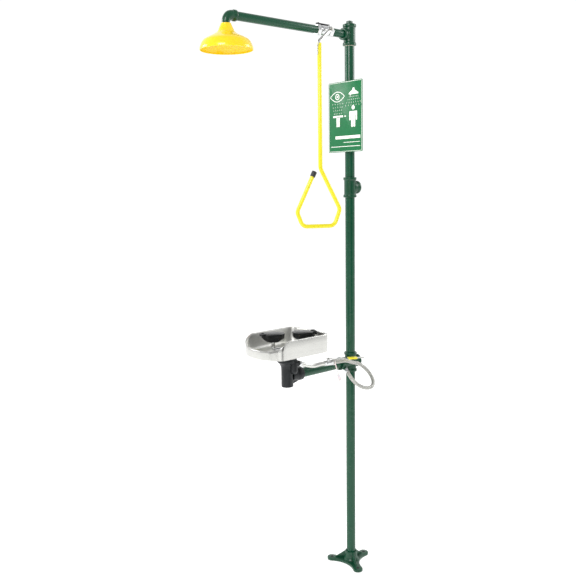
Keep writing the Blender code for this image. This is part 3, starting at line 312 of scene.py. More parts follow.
# Woven wire: two families of strands, nearly 5 mm apart, cross at 45 degrees, and the higher one shows.
# The gaps between them show the dark rubber. The real wires are 0.3 mm, too fine to show, so they are
# drawn as bundles.
braid = bpy.data.materials.new("woven_stainless_braid")
braid.use_nodes = True
tree = braid.node_tree
shader = tree.nodes["Principled BSDF"]
shader.inputs["Metallic"].default_value = 0.9
lay = add(tree, "SeparateXYZ", {"Vector": add(tree, "UVMap", uv_map="lay").outputs["UV"]})
waves = []
for way in (1, -1):
    slant = add(tree, "Math", {0: lay.outputs["Y"], 1: float(way)}, operation="MULTIPLY")
    phase = add(tree, "Math", {0: lay.outputs["X"], 1: slant.outputs[0]}, operation="ADD")
    turns = add(tree, "Math", {0: phase.outputs[0], 1: 2 * math.pi}, operation="MULTIPLY")
    waves.append(add(tree, "Math", {0: turns.outputs[0]}, operation="COSINE").outputs[0])
crossed = add(tree, "Math", {0: waves[0], 1: waves[1]}, operation="MULTIPLY").outputs[0]
higher = add(tree, "Math", {0: waves[0], 1: waves[1]}, operation="MAXIMUM").outputs[0]
lift = add(tree, "MapRange", {"Value": higher, "From Min": -0.4, "From Max": 0.7})
tone = add(tree, "ValToRGB", {"Fac": lift.outputs["Result"]})
tone.color_ramp.elements[0].color, tone.color_ramp.elements[0].position = linear("2E2E2B"), 0.15
tone.color_ramp.elements[1].color, tone.color_ramp.elements[1].position = linear("C4C4BE"), 0.8
tree.links.new(tone.outputs["Color"], shader.inputs["Base Color"])
fine = add(tree, "MapRange", {"Value": crossed, "From Min": -1.0, "To Min": 0.25, "To Max": 0.45})
tree.links.new(fine.outputs["Result"], shader.inputs["Roughness"])
push = add(tree, "Bump", {"Height": higher, "Distance": 0.0004})
tree.links.new(push.outputs["Normal"], shader.inputs["Normal"])

SIDES_ROUND, STRANDS, STRAND_PITCH = 28, 8, 6.5 * mm
hose = piece("braided_hose_sleeve", [shell(carried(route, circle(SIDES_ROUND, HOSE_RADIUS)))], braid,
             "frame", ["braided_hose"])
loops = np.zeros(len(hose.data.loops), int)
hose.data.loops.foreach_get("vertex_index", loops)
rows, cols = loops // SIDES_ROUND, loops % SIDES_ROUND
wall = np.arange(len(loops)) < 4 * SIDES_ROUND * (len(route) - 1)
quad = cols[wall].reshape(-1, 4)
seam = (quad.max(1) - quad.min(1) > 1)[:, None] & (quad == 0)
cols[wall] = np.where(seam, SIDES_ROUND, quad).ravel()
lay_uv = np.column_stack([along[rows] / STRAND_PITCH, cols * STRANDS / SIDES_ROUND])
hose.data.uv_layers.new(name="lay").data.foreach_set("uv", lay_uv.ravel())

# Machined brass, chrome plated: a mirror with faint cloudy wear, so its edges are not perfect.
chrome = finish("polished_chrome", ("DCDDDD", "C9CBCC"), 0.03, (0.07, 0.16), 0.012, [(0.02, 0.0001)],
                metallic=1.0)
HEXAGON = eased(circle(6), 0.12, True, 4)


def crimped_nut(at, aim, inner, low, shoulder, high):
    """A six-sided nut round a hose's end, which narrows from its shoulder to its top. Sizes in mm."""
    profile = [(inner, low), (10.2, low), (10.2, shoulder), (8.9, high), (inner, high)]
    return spun(np.array(profile) * mm, at, aim, 0.6 * mm, ring=True, form=HEXAGON)


hex_nut = crimped_nut(VALVE_AT + FLOW * HALF_VALVE, FLOW, 6, 0.3, 10, 13.5)
valve_nut = piece("hose_nut_at_valve", [hex_nut], chrome, "frame", ["hose_nut_valve"])
hex_nut = crimped_nut(OUTLET_AT + OUTLET_AIM * 36 * mm, OUTLET_AIM, 6.9, 0, 11, 17.7)
cross_nut = piece("hose_nut_at_cross", [hex_nut], chrome, "frame", ["hose_nut_cross"])
# The thread is a wave of crests 2 mm apart along the nipple.
up_nipple = np.linspace(26, 50, 61)
crests = np.column_stack([6.4 + 0.25 * np.cos(up_nipple * math.pi), up_nipple])
profile = np.vstack([(4.5, 26), crests, (4.5, 50)]) * mm
nipple = spun(profile, OUTLET_AT, OUTLET_AIM, ring=True, sides=40)
piece("threaded_nipple", [nipple], chrome, "frame", ["hose_outlet_nipple"])

# ---- Pole and its fittings -----------------------------------------------------------------------
# 1-1/4 inch steel water pipe, 42 mm across, screwed into malleable iron tees and a cross with thick
# beads round their mouths. All of it is sprayed with green enamel, which smooths the pipe and follows
# the cast skin of the fittings. Pipe dope has squeezed out pale under the top tee.
# The enamel has a wet gloss with a slight orange peel, a few millimetres from ripple to ripple.
enamel = finish("green_enamel_on_pipe", ("064830", "05412A"), 0.08, (0.24, 0.29), 0.03,
                [(0.003, 0.00002), (0.03, 0.00004)], coat_weight=0.15, coat_roughness=0.05,
                specular_ior_level=0.30)
# The same enamel over sand-cast iron: the cast grain still shows, so its highlights break up.
cast_enamel = finish("green_enamel_on_castings", ("06462E", "053A24"), 0.03, (0.26, 0.36), 0.01,
                     [(0.0022, 0.00010), (0.012, 0.00015)], coat_weight=0.15, coat_roughness=0.08,
                     specular_ior_level=0.35)
Z_UP, FORWARD, BACK = np.array([0, 0, 1.0]), np.array([0, -1.0, 0]), np.array([0, 1.0, 0])
POLE, ARM, REACH_OUT = 21.1 * mm, 16.7 * mm, 44.5 * mm
WALL, BEAD = 4.4 * mm, 8 * mm
ARM_Z = 2.402
CROSS_AT, SUPPLY_AT, TOP_AT = (np.array([0, 0, z]) for z in (0.968, 1.754, ARM_Z))


def tube(low, high, centre, way, outer, inner):
    """A straight pipe between two heights along a direction, with its cut ends just eased."""
    return spun([(inner, low), (outer, low), (outer, high), (inner, high)], centre, way, 0.4 * mm, ring=True)


for name, low, high in (("lower_pole", 0.0043, 0.939), ("middle_pole", 0.997, 1.725),
                        ("upper_pole", 1.783, 2.373)):
    piece(name + "_pipe", [tube(low, high, np.zeros(3), Z_UP, POLE, 17.5 * mm)], enamel, "frame",
          [name])


def mouth(pipe, reach):
    """From a fitting's middle out to its mouth, round the bead, over the lip and into the thread."""
    return [(pipe + WALL, 0.6 * reach), (pipe + WALL, reach - 14 * mm), (pipe + BEAD, reach - 11 * mm),
            (pipe + BEAD, reach - 0.5 * mm), (pipe + 0.5 * mm, reach), (pipe + 0.3 * mm, reach - 15 * mm)]


def branch(centre, way, pipe, reach):
    """A fitting's hollow arm from inside its body to its mouth."""
    inner = pipe - 3.6 * mm
    profile = [(inner, 10 * mm), (pipe + WALL, 10 * mm), *mouth(pipe, reach), (inner, reach - 15.5 * mm)]
    return spun(profile, centre, way, 2.2 * mm, ring=True)


def run(centre, pipe=POLE, reach=REACH_OUT):
    """A fitting's body: two mouths back to back with a bore between them."""
    up = mouth(pipe, reach)
    inner = pipe - 3.6 * mm
    down = [(r, -h) for r, h in up[::-1]]
    return spun([*down, *up, (inner, reach - 15.5 * mm), (inner, 15.5 * mm - reach)], centre, Z_UP, 2.2 * mm,
                ring=True)


def neck(centre, way, pipe):
    """The fillet where an arm grows out of the body: a ring that flares towards the body's side."""
    body = pipe + WALL
    flare = np.linspace(0, math.pi / 2, 9)
    rise = [(body + 5 * mm * (1 - math.sin(a)), 21 * mm + 5 * mm * (1 - math.cos(a))) for a in flare]
    return spun([(body - 3 * mm, 18 * mm), (body + 3 * mm, 18 * mm), *rise, (body - 3 * mm, 26 * mm)], centre,
                way, ring=True)


FITTINGS = {
    "top_tee": (TOP_AT, [(FORWARD, ARM, REACH_OUT)]),
    "supply_tee": (SUPPLY_AT, [(BACK, POLE, REACH_OUT)]),
    "eyewash_cross": (CROSS_AT, [(BACK, POLE, REACH_OUT), (FORWARD, POLE, 75 * mm)]),
}
for name, (centre, arms) in FITTINGS.items():
    skins = [run(centre)] + [branch(centre, way, pipe, reach) for way, pipe, reach in arms]
    skins += [neck(centre, way, pipe) for way, pipe, reach in arms if pipe < POLE]
    if name == "eyewash_cross":
        boss = [(5 * mm, 18 * mm), (11 * mm, 18 * mm), (11 * mm, 34 * mm), (6.9 * mm, 34 * mm)]
        skins.append(spun(boss, OUTLET_AT, OUTLET_AIM, 1 * mm, ring=True))
    piece(name + "_casting", skins, cast_enamel, "frame", [name])
# A plug is a threaded barrel with a square head, 21 mm across, for a wrench.
turn_45 = np.array([[0.7071, 0.7071], [-0.7071, 0.7071]])
square = eased(circle(4, 10.5 * mm * 2**0.5), 2 * mm, True, 4) @ turn_45
barrel = [(1 * mm, 29 * mm), (POLE, 29 * mm), (POLE, 43.5 * mm), (17 * mm, 47.5 * mm),
          (15 * mm, 49.5 * mm), (1 * mm, 49.5 * mm)]
for name, centre, way in (("top_plug", TOP_AT, Z_UP), ("cross_plug", CROSS_AT, BACK)):
    piece(name + "_casting", [spun(barrel, centre, way, 1 * mm),
                              slab(square, 44 * mm, 58 * mm, axes(way), centre, 1 * mm)],
          cast_enamel, "frame", [name])
# Thread sealant: cream paste that has skinned over, lumpy and matt.
sealant = finish("thread_sealant", ("D9D6C6", "C4C2B0"), 0.004, (0.5, 0.7), 0.003, [(0.002, 0.0004)])
SEAM_Z, round_pole = 2.3563, circle(96)
bearing = np.arctan2(round_pole[:, 1], round_pole[:, 0])
swell = 1 + 0.35 * np.sin(7 * bearing + 1) * np.sin(3 * bearing)
spread_to = [(POLE + 0.4 * mm + r * swell, SEAM_Z + h) for r, h in circle(10, 1.1 * mm)]
paste = np.stack([np.column_stack([round_pole * r[:, None], np.full(96, h)]) for r, h in spread_to])
piece("sealant_bead", [shell(paste, ring=True)], sealant, "frame")

# ---- Floor flange --------------------------------------------------------------------------------
# A three-footed cast iron flange: round pads with bolt holes, a hub for the pole and a thin upright
# gusset on each foot. Cast in one piece, drilled, then enamelled with the pole.
ANGLES, step = np.radians([-26.0, 94.0, 214.0]), 2 * math.pi / 3
FOOT_OUT, PAD, WAIST = 92 * mm, 22 * mm, 40 * mm
# Between two feet the edge is an arc that runs smoothly into both pads and comes in to the waist. Its
# centre is where it is one pad's radius further from a foot's middle than its own radius.
near = WAIST - PAD
out_at = (FOOT_OUT**2 - near**2) / (2 * (FOOT_OUT * math.cos(step / 2) - near))
hollow = out_at - WAIST
lean = math.atan2(out_at * math.sin(step / 2), out_at * math.cos(step / 2) - FOOT_OUT)
turns = np.linspace(-lean, lean, 21)
sweep = np.linspace(1, -1, 21)[1:-1] * (lean - step / 2)
outline = []
for angle in ANGLES:
    foot = FOOT_OUT * np.array([math.cos(angle), math.sin(angle)])
    outline.append(foot + PAD * np.column_stack([np.cos(angle + turns), np.sin(angle + turns)]))
    middle = angle + step / 2
    at = middle + math.pi + sweep
    outline.append(out_at * np.array([math.cos(middle), math.sin(middle)])
                   + hollow * np.column_stack([np.cos(at), np.sin(at)]))
hub = [(POLE + 0.3 * mm, 2 * mm), (36 * mm, 2 * mm), (36 * mm, 15 * mm), (30 * mm, 24 * mm),
       (28 * mm, 55 * mm), (POLE + 0.3 * mm, 55 * mm)]
skins = [slab(np.vstack(outline), 0, 12 * mm, np.eye(3), np.zeros(3), 1.5 * mm),
         spun(hub, np.zeros(3), Z_UP, 3 * mm, ring=True)]
wedge = np.array([(18, 4), (78, 4), (78, 13), (29, 50), (18, 50)]) * mm
for angle in ANGLES:
    aim = np.array([math.cos(angle), math.sin(angle), 0])
    skins.append(slab(eased(wedge, 2.5 * mm, True), -4 * mm, 4 * mm, (aim, Z_UP, np.cross(aim, Z_UP)),
                      np.zeros(3), 1.4 * mm))
piece("floor_flange_casting", skins, cast_enamel, "frame", ["floor_flange"])
# Painted shade: a disc with a low rim stands for each bolt hole, and its bare iron is coloured almost
# black for the shade down the hole, with a dull gleam.
hole_shade = finish("painted_hole_shade", ("2A2B2A", "1C1D1C"), 0.004, (0.4, 0.6), 0.003, [(0.001, 0.0001)],
               metallic=0.8)
drilled = np.array([(0.4, 12.1), (6.2, 12.1), (6.6, 12.35), (7.1, 12.1), (7.1, 11.6), (0.4, 11.6)]) * mm
skins = [spun(drilled, (FOOT_OUT * math.cos(a), FOOT_OUT * math.sin(a), 0), Z_UP, 0.1 * mm, 40, True)
         for a in ANGLES]
piece("bolt_hole_shade_discs", skins, hole_shade, "frame")

# ---- Arm, elbow and shower valve -----------------------------------------------------------------
# A 1 inch nipple, a chrome two-piece ball valve and a pipe to a cast elbow that turns down into the
# head. The valve's hexagons are the wrench flats of its two halves. A stainless lever sits on its
# stem. A black plate on top, shaped as a bracket that stops the lever's travel, is painted reflection:
# its black stands for the dark band that the chrome's top mirrors.
ELBOW_MOUTH, HEAD_Y, VALVE_Y, BEND = 0.611, 0.656, 0.1535, 28 * mm
piece("nipple_pipe", [tube(29 * mm, VALVE_Y - 29.3 * mm, TOP_AT, FORWARD, ARM, 13.3 * mm)], enamel, "frame",
      ["valve_nipple"])
piece("arm_pipe_run", [tube(VALVE_Y + 29.3 * mm, ELBOW_MOUTH + 15 * mm, TOP_AT, FORWARD, ARM, 13.3 * mm)],
      enamel, "frame", ["arm_pipe"])
bend = np.linspace(0, math.pi / 2, 25)
corner = np.array([0, BEND - HEAD_Y, ARM_Z - BEND])
arc = corner + BEND * np.column_stack([0 * bend, -np.sin(bend), np.cos(bend)])
path = np.vstack([[(0, -y, ARM_Z) for y in (0.6113, 0.6118, 0.6125, 0.619, 0.6225, 0.6238, 0.6252)], arc,
                  [(0, -HEAD_Y, z) for z in (2.368, 2.361, 2.3537)]])
# The elbow is thickest at the bead round its mouth and tapers round the bend to its spigot.
taper = np.interp(bend, [0, 0.5, 1.0, 1.57], [18.8, 18.4, 16.6, 15.6])
radii = np.array([20.3, 21.2, 21.5, 21.5, 21.2, 20.2, 19.0, *taper, 15.2, 15, 15]) * mm
elbow = shell(carried(path, circle(64)[None] * radii[:, None, None]))
piece("elbow_casting", [elbow], cast_enamel, "frame", ["arm_elbow"])


def valve_skins(at, flow, stem, k, boss, nut_top):
    """A ball valve of scale k: a turned barrel between two hexagons, a boss for the stem and its nut."""
    s = mm * k
    barrel = np.array([(18.4, -24), (19.8, -24), (22.5, -15), (22.5, 17), (21.4, 24), (18.4, 24)]) * s
    flats = np.array([(16.9, 24.6), (22, 24.6), (23.5, 26.4), (23.5, 42.5), (22, 44.3), (16.9, 44.3)]) * s
    boss_side = [(4.6 * s, 19 * s), (13 * s, 19 * s), (10.5 * s, 25 * s), (10.5 * s, boss), (4.6 * s, boss)]
    nut_low = boss + 0.3 * mm
    nut = [(5.3 * s, nut_low), (11 * s, nut_low), (11 * s, nut_top), (5.3 * s, nut_top)]
    ends = [spun(flats * [1, way], at, flow, 0.8 * s, 64, True, stem, HEXAGON) for way in (-1, 1)]
    return [spun(barrel, at, flow, 2 * s, 64, True, stem), *ends,
            spun(boss_side, at, stem, 0.8 * s, 48, True),
            spun(nut, at, stem, 0.8 * s, 48, True, (0, 1, 0), HEXAGON)]


VALVE = np.array([0, -VALVE_Y, ARM_Z])
SIDEWAYS = np.array([1.0, 0, 0])
piece("shower_valve", valve_skins(VALVE, FORWARD, SIDEWAYS, 1.0, 32 * mm, 40 * mm), chrome, "frame",
      ["shower_valve_body", "shower_valve_retainer", "shower_packing_nut"])
# Cold-rolled stainless strip: fine rolling lines along Y that spread the reflections across them.
rolled = finish("rolled_stainless", ("CFCFCA", "BDBDB9"), 0.02, (0.16, 0.34), 0.002, [(0.0015, 0.00005)],
                stretch=(1, 0.06, 1), metallic=1.0)
# Plain turned steel, handled and slightly dull: satin grey, with soft broken reflections.
steel = finish("satin_plain_steel", ("B9B9B4", "A2A29E"), 0.01, (0.22, 0.4), 0.004, [(0.002, 0.00006)],
               metallic=1.0)
drop = math.radians(38.6)
swing = np.array([0, -math.cos(drop), -math.sin(drop)])
lever_axes = (swing, np.cross(SIDEWAYS, swing), SIDEWAYS)
strip = np.array([(-13, -6.5), (93.5, -6.5), (93.5, 6.5), (-13, 6.5)]) * mm
flat_bar = slab(eased(strip, 5 * mm, True, 8), 43.5 * mm, 46.5 * mm, lever_axes, VALVE, 0.5 * mm)
piece("shower_lever_strip", [flat_bar], rolled, "shower_lever", ["shower_lever"])
lever_nut = np.array([(4.1, 46.8), (8, 46.8), (8, 52.5), (4.1, 52.5)]) * mm
stem_side = np.array([(0.4, 17.2), (4, 17.2), (4, 40.7), (6.5, 40.7), (6.5, 43.2), (4, 43.2), (4, 54.8),
                      (3.4, 55), (0.4, 55)]) * mm
piece("shower_stem", [spun(stem_side, VALVE, SIDEWAYS, 0.4 * mm, 32),
                      spun(lever_nut, VALVE, SIDEWAYS, 0.6 * mm, 48, True, (0, 1, 0), HEXAGON)],
      steel, "shower_lever", ["shower_valve_stem", "shower_lever_nut"])
# Painted reflection: black paint on a pressed plate stands for the dark band mirrored along the chrome
# valve's top; it is rubbed thin so that it shines a little on the edges.
painted_reflection_paint = finish("painted_reflection_plate", ("1B1D1F", "242628"), 0.015, (0.32, 0.5), 0.006,
                     [(0.002, 0.00008)])
plate = np.array([(-10, 34), (10, 34), (10, -28), (-10, -28)]) * mm
lip = np.array([(-9, 37), (9, 37), (9, 33), (-9, 33)]) * mm
flat_way = (SIDEWAYS, FORWARD, Z_UP)
piece("stop_bracket", [slab(eased(plate, 2.5 * mm, True), 22.8 * mm, 26 * mm, flat_way, VALVE, 0.6 * mm),
                       slab(eased(lip, 1 * mm, True), 23.6 * mm, 29 * mm, flat_way, VALVE, 0.8 * mm)],
      painted_reflection_paint, "frame", ["shower_stop_bracket"])

# ---- Shower head ---------------------------------------------------------------------------------
# A bell of glossy moulded yellow plastic about 200 mm across, with a soft shoulder line and a neck
# that is pressed over the elbow's spigot. Three posts inside hold the disc that spreads the water.
# Moulded ABS: even colour, a clean gloss, and the faint flow ripple that a deep moulding keeps.
yellow = finish("moulded_yellow_abs", ("F7D414", "F4CE10"), 0.06, (0.18, 0.26), 0.03,
                [(0.02, 0.00012), (0.0012, 0.00001)], coat_weight=0.25, coat_roughness=0.05)
OUTLINE = [(101.6, 0), (101, 8), (98.7, 15), (95.6, 22), (91.6, 30), (85.5, 37), (73, 44.5), (59, 51),
           (44, 58.5), (34, 66), (29.2, 73), (26.6, 80), (23.2, 87), (20, 94), (20, 97)]
# The bell's side is sampled evenly along these points, softened once with its neighbours, and given a
# wall 3 mm thick by stepping in along its normals.
outer = np.array(OUTLINE) * mm
samples = np.linspace(0, len(outer) - 1, 85)
outer = np.column_stack([np.interp(samples, np.arange(len(outer)), outer[:, k]) for k in (0, 1)])
kernel = np.array([1, 3, 4, 3, 1]) / 12
outer[2:-2] = np.column_stack([np.convolve(outer[:, k], kernel, "valid") for k in (0, 1)])
slope = unit(np.gradient(outer, axis=0))
inner = outer + np.column_stack([-slope[:, 1], slope[:, 0]]) * 3 * mm
inner = inner[(inner[:, 1] > 0.5 * mm) & (inner[:, 0] > 15.5 * mm) & (inner[:, 1] < 80 * mm)]
inner[:, 0] = np.maximum(inner[:, 0], 15.3 * mm)
lip_of = [(outer[0, 0] - 3 * mm, 0.4 * mm), (outer[0, 0] - 2.4 * mm, 0), (outer[0, 0] - 0.6 * mm, 0)]
neck_end = np.array([(19.6, 97), (15.4, 97), (15.3, 80.6)]) * mm
bell = np.vstack([inner[::-1], lip_of, outer[1:-1], neck_end])
HEAD = np.array([0, -HEAD_Y, 2.272])
piece("shower_bell", [spun(bell, HEAD, Z_UP, sides=128, ring=True)], yellow, "frame",
      ["shower_head"], sharp=50)
disc = np.array([(0.5, 52), (19, 51), (20, 52.5), (0.5, 56)]) * mm
collar = np.array([(8, 72.5), (14.6, 72.5), (14.6, 80.5), (8, 80.5)]) * mm
post = np.array([(0.2, 54), (1.8, 54), (1.8, 75), (0.2, 75)]) * mm
skins = [spun(disc, HEAD, Z_UP, 0.5 * mm), spun(collar, HEAD, Z_UP, 0.8 * mm, 64, True)]
for a in (0.3 + step * i for i in range(3)):
    skins.append(spun(post, HEAD + [11 * mm * math.cos(a), 11 * mm * math.sin(a), 0], Z_UP, sides=20))
piece("water_spreader", skins, yellow, "frame", ["shower_diffuser"])

# ---- Pull rod ------------------------------------------------------------------------------------
# One thin steel tube with a yellow plastic coating, bent into a long shank and a big triangular handle.
# It hangs from the lever by a small wire bail, and a black cap is pushed over its cut end.


def filleted(corners, radius, count=9):
    """A path whose inner corners are arcs of the given radius, each turned from its start arm to its end."""
    p = np.array(corners, float)
    out = [p[:1]]
    for a, b, c, r in zip(p, p[1:], p[2:], np.broadcast_to(radius, len(p) - 2)):
        u, v = unit(a - b), unit(c - b)
        half = math.acos(float(np.clip(u @ v, -1, 1))) / 2
        centre = b + unit(u + v) * r / math.sin(half)
        arms = np.stack([b + u * r / math.tan(half), b + v * r / math.tan(half)]) - centre
        swept = math.pi - 2 * half
        t = np.linspace(0, 1, count)[:, None]
        blend = np.sin((1 - t) * swept) * arms[0] + np.sin(t * swept) * arms[1]
        out.append(centre + blend / math.sin(swept))
    return np.vstack([*out, p[-1:]])


ROD, HANDLE_TURN = 8.75 * mm, math.radians(25)
hole = VALVE + SIDEWAYS * 45 * mm + swing * 86 * mm
handle_way = np.array([math.sin(HANDLE_TURN), math.cos(HANDLE_TURN), 0])
plan = [(0, 0), (0, -0.505), (0.0855, -0.675), (0.060, -0.745), (-0.0795, -0.745), (-0.1035, -0.684),
        (-0.0269, -0.5214)]
at = [hole - [0, 0, ROD] + handle_way * s + Z_UP * z for s, z in np.array(plan) + [0, 0.25 * mm]]
path = filleted(at, [60 * mm, 30 * mm, 30 * mm, 30 * mm, 30 * mm])
first, last = unit(path[1] - path[0]), unit(path[-1] - path[-2])
path = np.vstack([path[0], path[0] + first * 0.7 * mm, path[0] + first * 1.6 * mm, path[1:-1], path[-1]])
radii = np.full(len(path), ROD)
radii[:3] = ROD - np.array([1.8, 0.6, 0]) * mm
# A thick dipped coating: gloss with slow sags, and soft scuffs where hands and hooks have rubbed it.
coating = finish("yellow_dipped_coating", ("E6DA20", "DFD21A"), 0.05, (0.24, 0.40), 0.02,
                 [(0.01, 0.00004), (0.0015, 0.00001)], coat_weight=0.2, coat_roughness=0.1)
piece("pull_rod_bar", [shell(carried(path, circle(32)[None] * radii[:, None, None]))], coating, "pull_rod",
      ["pull_rod"])
# Soft black vinyl: matt, and a little grey where it has been handled.
vinyl = finish("black_vinyl", ("1A1B1C", "26282A"), 0.01, (0.45, 0.62), 0.006, [(0.0012, 0.00005)])
cap = [(0.5 * mm, 0.6 * mm), (ROD + 0.3 * mm, 0.6 * mm), (ROD + 0.3 * mm, -20 * mm),
       (ROD + 2 * mm, -20 * mm), (ROD + 2 * mm, 2 * mm), (ROD, 4.5 * mm), (0.5 * mm, 4.5 * mm)]
piece("rod_end_cap", [spun(cap, path[-1], last, 1 * mm, 40)], vinyl, "pull_rod",
      ["pull_rod_cap"])
bail = np.array([(-4.6, 0, -8.45), (-4.6, 0, 0), (5.6, 0, 0), (5.6, -9, -4), (5.6, -11.5, -14),
                 (2, -12.2, -24), (2, -12.2, -58)]) * mm
wire = shell(carried(hole + filleted(bail, 2.4 * mm, 5), circle(16, 2 * mm)))
piece("wire_bail", [wire], steel, "pull_rod", ["pull_rod_hook"])

# ---- Sign ----------------------------------------------------------------------------------------
# A 3 mm green plastic plate, printed in white with pictograms and a white edge line, held to the pole
# by two steel straps with two rivets each. The print stands 0.15 mm proud of the plate.
# Extruded sheet: an even green with a soft sheen, and hardly any texture.
plate_green = finish("sign_green_plastic", ("026C3C", "026437"), 0.08, (0.30, 0.42), 0.03, [(0.003, 0.00003)],
                     specular_ior_level=0.3)
# Screen ink: matt, a little uneven where it lies on the plate.
print_white = finish("white_screen_print", ("F2F3EF", "E7E8E2"), 0.02, (0.45, 0.6), 0.006, [(0.001, 0.00003)])
SIGN_WIDE, SIGN_TALL, SIGN_FRONT = 0.203, 0.300, -31.5 * mm
SIGN_MIDDLE, SIGN_AXES = np.array([3 * mm, SIGN_FRONT, 2.057]), (SIDEWAYS, Z_UP, FORWARD)
INK_LOW, INK_HIGH = -0.1 * mm, 0.15 * mm


def board(wide, tall, corner):
    """A rectangle's outline with rounded corners, about its own middle."""
    return eased(np.array([(-1, -1), (1, -1), (1, 1), (-1, 1)]) * [wide / 2, tall / 2], corner, True, 7)


sheet = slab(board(SIGN_WIDE, SIGN_TALL, 6 * mm), -3 * mm, 0, SIGN_AXES, SIGN_MIDDLE)
piece("sign_board", [sheet], plate_green, "frame", ["sign_plate"])


def printed(outline, u, v, turned=0.0):
    """A flat mark on the sign, its middle at shares u from the left and v from the top."""
    c, s = math.cos(turned), math.sin(turned)
    o = np.asarray(outline) @ np.array([[c, s], [-s, c]]) + [(u - 0.5) * SIGN_WIDE, (0.5 - v) * SIGN_TALL]
    return slab(o, INK_LOW, INK_HIGH, SIGN_AXES, SIGN_MIDDLE, 0.03 * mm)


def banded(outline, width):
    """The closed outline as a band of constant width, a skin of four rows joined into a ring."""
    o = np.asarray(outline, float)
    way = unit(np.roll(o, -1, 0) - np.roll(o, 1, 0))
    out = np.column_stack([way[:, 1], -way[:, 0]]) * width / 2
    rows = [np.column_stack([o + out * s, np.full(len(o), h)]) for s, h in
            ((-1, INK_LOW), (1, INK_LOW), (1, INK_HIGH), (-1, INK_HIGH))]
    return shell(SIGN_MIDDLE + np.array(rows) @ np.stack(SIGN_AXES), ring=True)


# The eye is a band round two lids, each a cosine hump, with a ring and a dot inside. Under it a spray
# falls into a basin on a post. Beside them are a shower rose with its own spray, and a standing figure.
# Bars stand for the words.
eye_x = np.linspace(-1, 1, 25)
lid_up = np.column_stack([eye_x * 43 * mm, 21 * mm * np.cos(eye_x * math.pi / 2) ** 0.9])
eye = np.vstack([lid_up, (lid_up * [1, -1])[-2:0:-1]])[::-1]
at_eye = np.array([(0.27 - 0.5) * SIGN_WIDE, (0.5 - 0.207) * SIGN_TALL])
marks = [banded(board(0.196, 0.293, 4 * mm), 1.6 * mm), banded(eye + at_eye, 3.2 * mm),
         banded(circle(40, 11 * mm) + at_eye, 4 * mm), printed(circle(32, 4 * mm), 0.27, 0.207)]
rose = np.array([(-29, -12), (29, -12), (27, -6), (15, 2), (6, 6), (6, 15), (-6, 15), (-6, 6), (-15, 2),
                 (-27, -6)]) * mm
marks.append(printed(eased(rose, 3 * mm, True), 0.75, 0.155))
drop_shape = circle(16) * [0.9 * mm, 3.2 * mm]
for row, v in enumerate((0.225, 0.265, 0.305, 0.345)):
    lean_to = np.linspace(-0.35, 0.35, 7)
    marks += [printed(drop_shape, 0.75 + t * (0.36 + 0.1 * row), v, t * 0.7) for t in lean_to]
for row, v in enumerate((0.31, 0.355, 0.40, 0.445)):
    lean_to = np.linspace(-0.5, 0.5, 5)
    marks += [printed(drop_shape, 0.28 + t * (0.30 - 0.03 * row), v, -t * 0.5) for t in lean_to]
basin = ((62, 8, 2, 0.29, 0.488), (20, 42, 1.5, 0.29, 0.565), (11, 4, 1, 0.50, 0.49))
marks += [printed(board(wide * mm, tall * mm, corner * mm), u, v) for wide, tall, corner, u, v in basin]
marks.append(printed(circle(40, 9 * mm), 0.74, 0.38))
figure_half = np.array([(23, 30), (23, -8), (15, -8), (15, 14), (12, 14), (12, -36), (1.5, -36), (1.5, -6)])
figure = np.vstack([figure_half, figure_half[::-1] * [-1, 1]]) * mm
marks.append(printed(eased(figure, 3 * mm, True, 4)[::-1], 0.74, 0.53))
bars = ((0.74, 13, 2, 0.575, 0.79), (0.49, 2.2, 0.8, 0.695, 0.862), (0.87, 2.6, 1, 0.505, 0.92))
marks += [printed(board(share * SIGN_WIDE, tall * mm, corner * mm), u, v)
          for share, tall, corner, u, v in bars]
piece("sign_print", marks, print_white, "frame")
# A strap lies flat behind the plate, runs back and goes half way round the pole.
half_loop = np.linspace(0, math.pi, 33)
loop = 22.4 * np.column_stack([np.cos(half_loop), np.sin(half_loop)])
tail = np.array([(46, -27.2), (30, -27.2), (24.5, -27.2), (23, -22)])
strap = eased(np.vstack([tail, loop, tail[::-1] * [-1, 1]]) * mm, 2 * mm, False, 3)
way = unit(np.gradient(strap, axis=0))
off = np.column_stack([-way[:, 1], way[:, 0]]) * 1 * mm
ribbon = np.vstack([strap + off, (strap - off)[::-1]])
back_rivet = np.array([(0.3, -2.3), (1.9, -2.3), (1.9, 2.3), (4, 2.3), (3.4, 4.1), (2, 4.8), (0.3, 4.9)]) * mm
front_rivet = np.array([(0.3, 0), (3.6, 0), (3.2, 0.9), (1.8, 1.4), (0.3, 1.5)]) * mm
for level_name, z in (("upper", 2.145), ("lower", 1.970)):
    skins = [slab(ribbon, z - 10 * mm, z + 10 * mm, np.eye(3), np.zeros(3), 0.3 * mm)]
    for x in (-36 * mm, 36 * mm):
        skins.append(spun(back_rivet, (x, -28.2 * mm, z), BACK, 0.3 * mm, 24))
        skins.append(spun(front_rivet, (x, SIGN_FRONT, z), FORWARD, 0.3 * mm, 24))
    piece("sign_strap_" + level_name, skins, steel, "frame",
          ["sign_clamp_" + level_name, f"sign_rivet_{level_name}_left", f"sign_rivet_{level_name}_right"])

# ---- Eyewash bowl --------------------------------------------------------------------------------
# A bowl pressed from 1 mm stainless sheet: an upright skirt that is high at the back and swoops down at
# the front, an edge turned over a few millimetres, and a dished floor with a raised line round the
# basin. The outside is brushed round the skirt and then nearly polished.


def brushed(name, stretch, rough, deep):
    """Brushed stainless: noise drawn out along the brushing in roughness, bump and brightness alike."""
    return finish(name, ("D2D2CE", "C2C2BE"), 0.008, rough, 0.0015, [(0.0012, deep), (0.05, 0.0002)],
                  stretch=stretch, metallic=1.0)


# The skirt is brushed round: fine level lines that spread reflections up and down.
skirt_steel = brushed("brushed_stainless_skirt", (0.05, 0.05, 1.0), (0.17, 0.30), 0.00002)
corner_y, front_y, side_x, rear_y = -0.518, -0.556, 0.121, -0.240
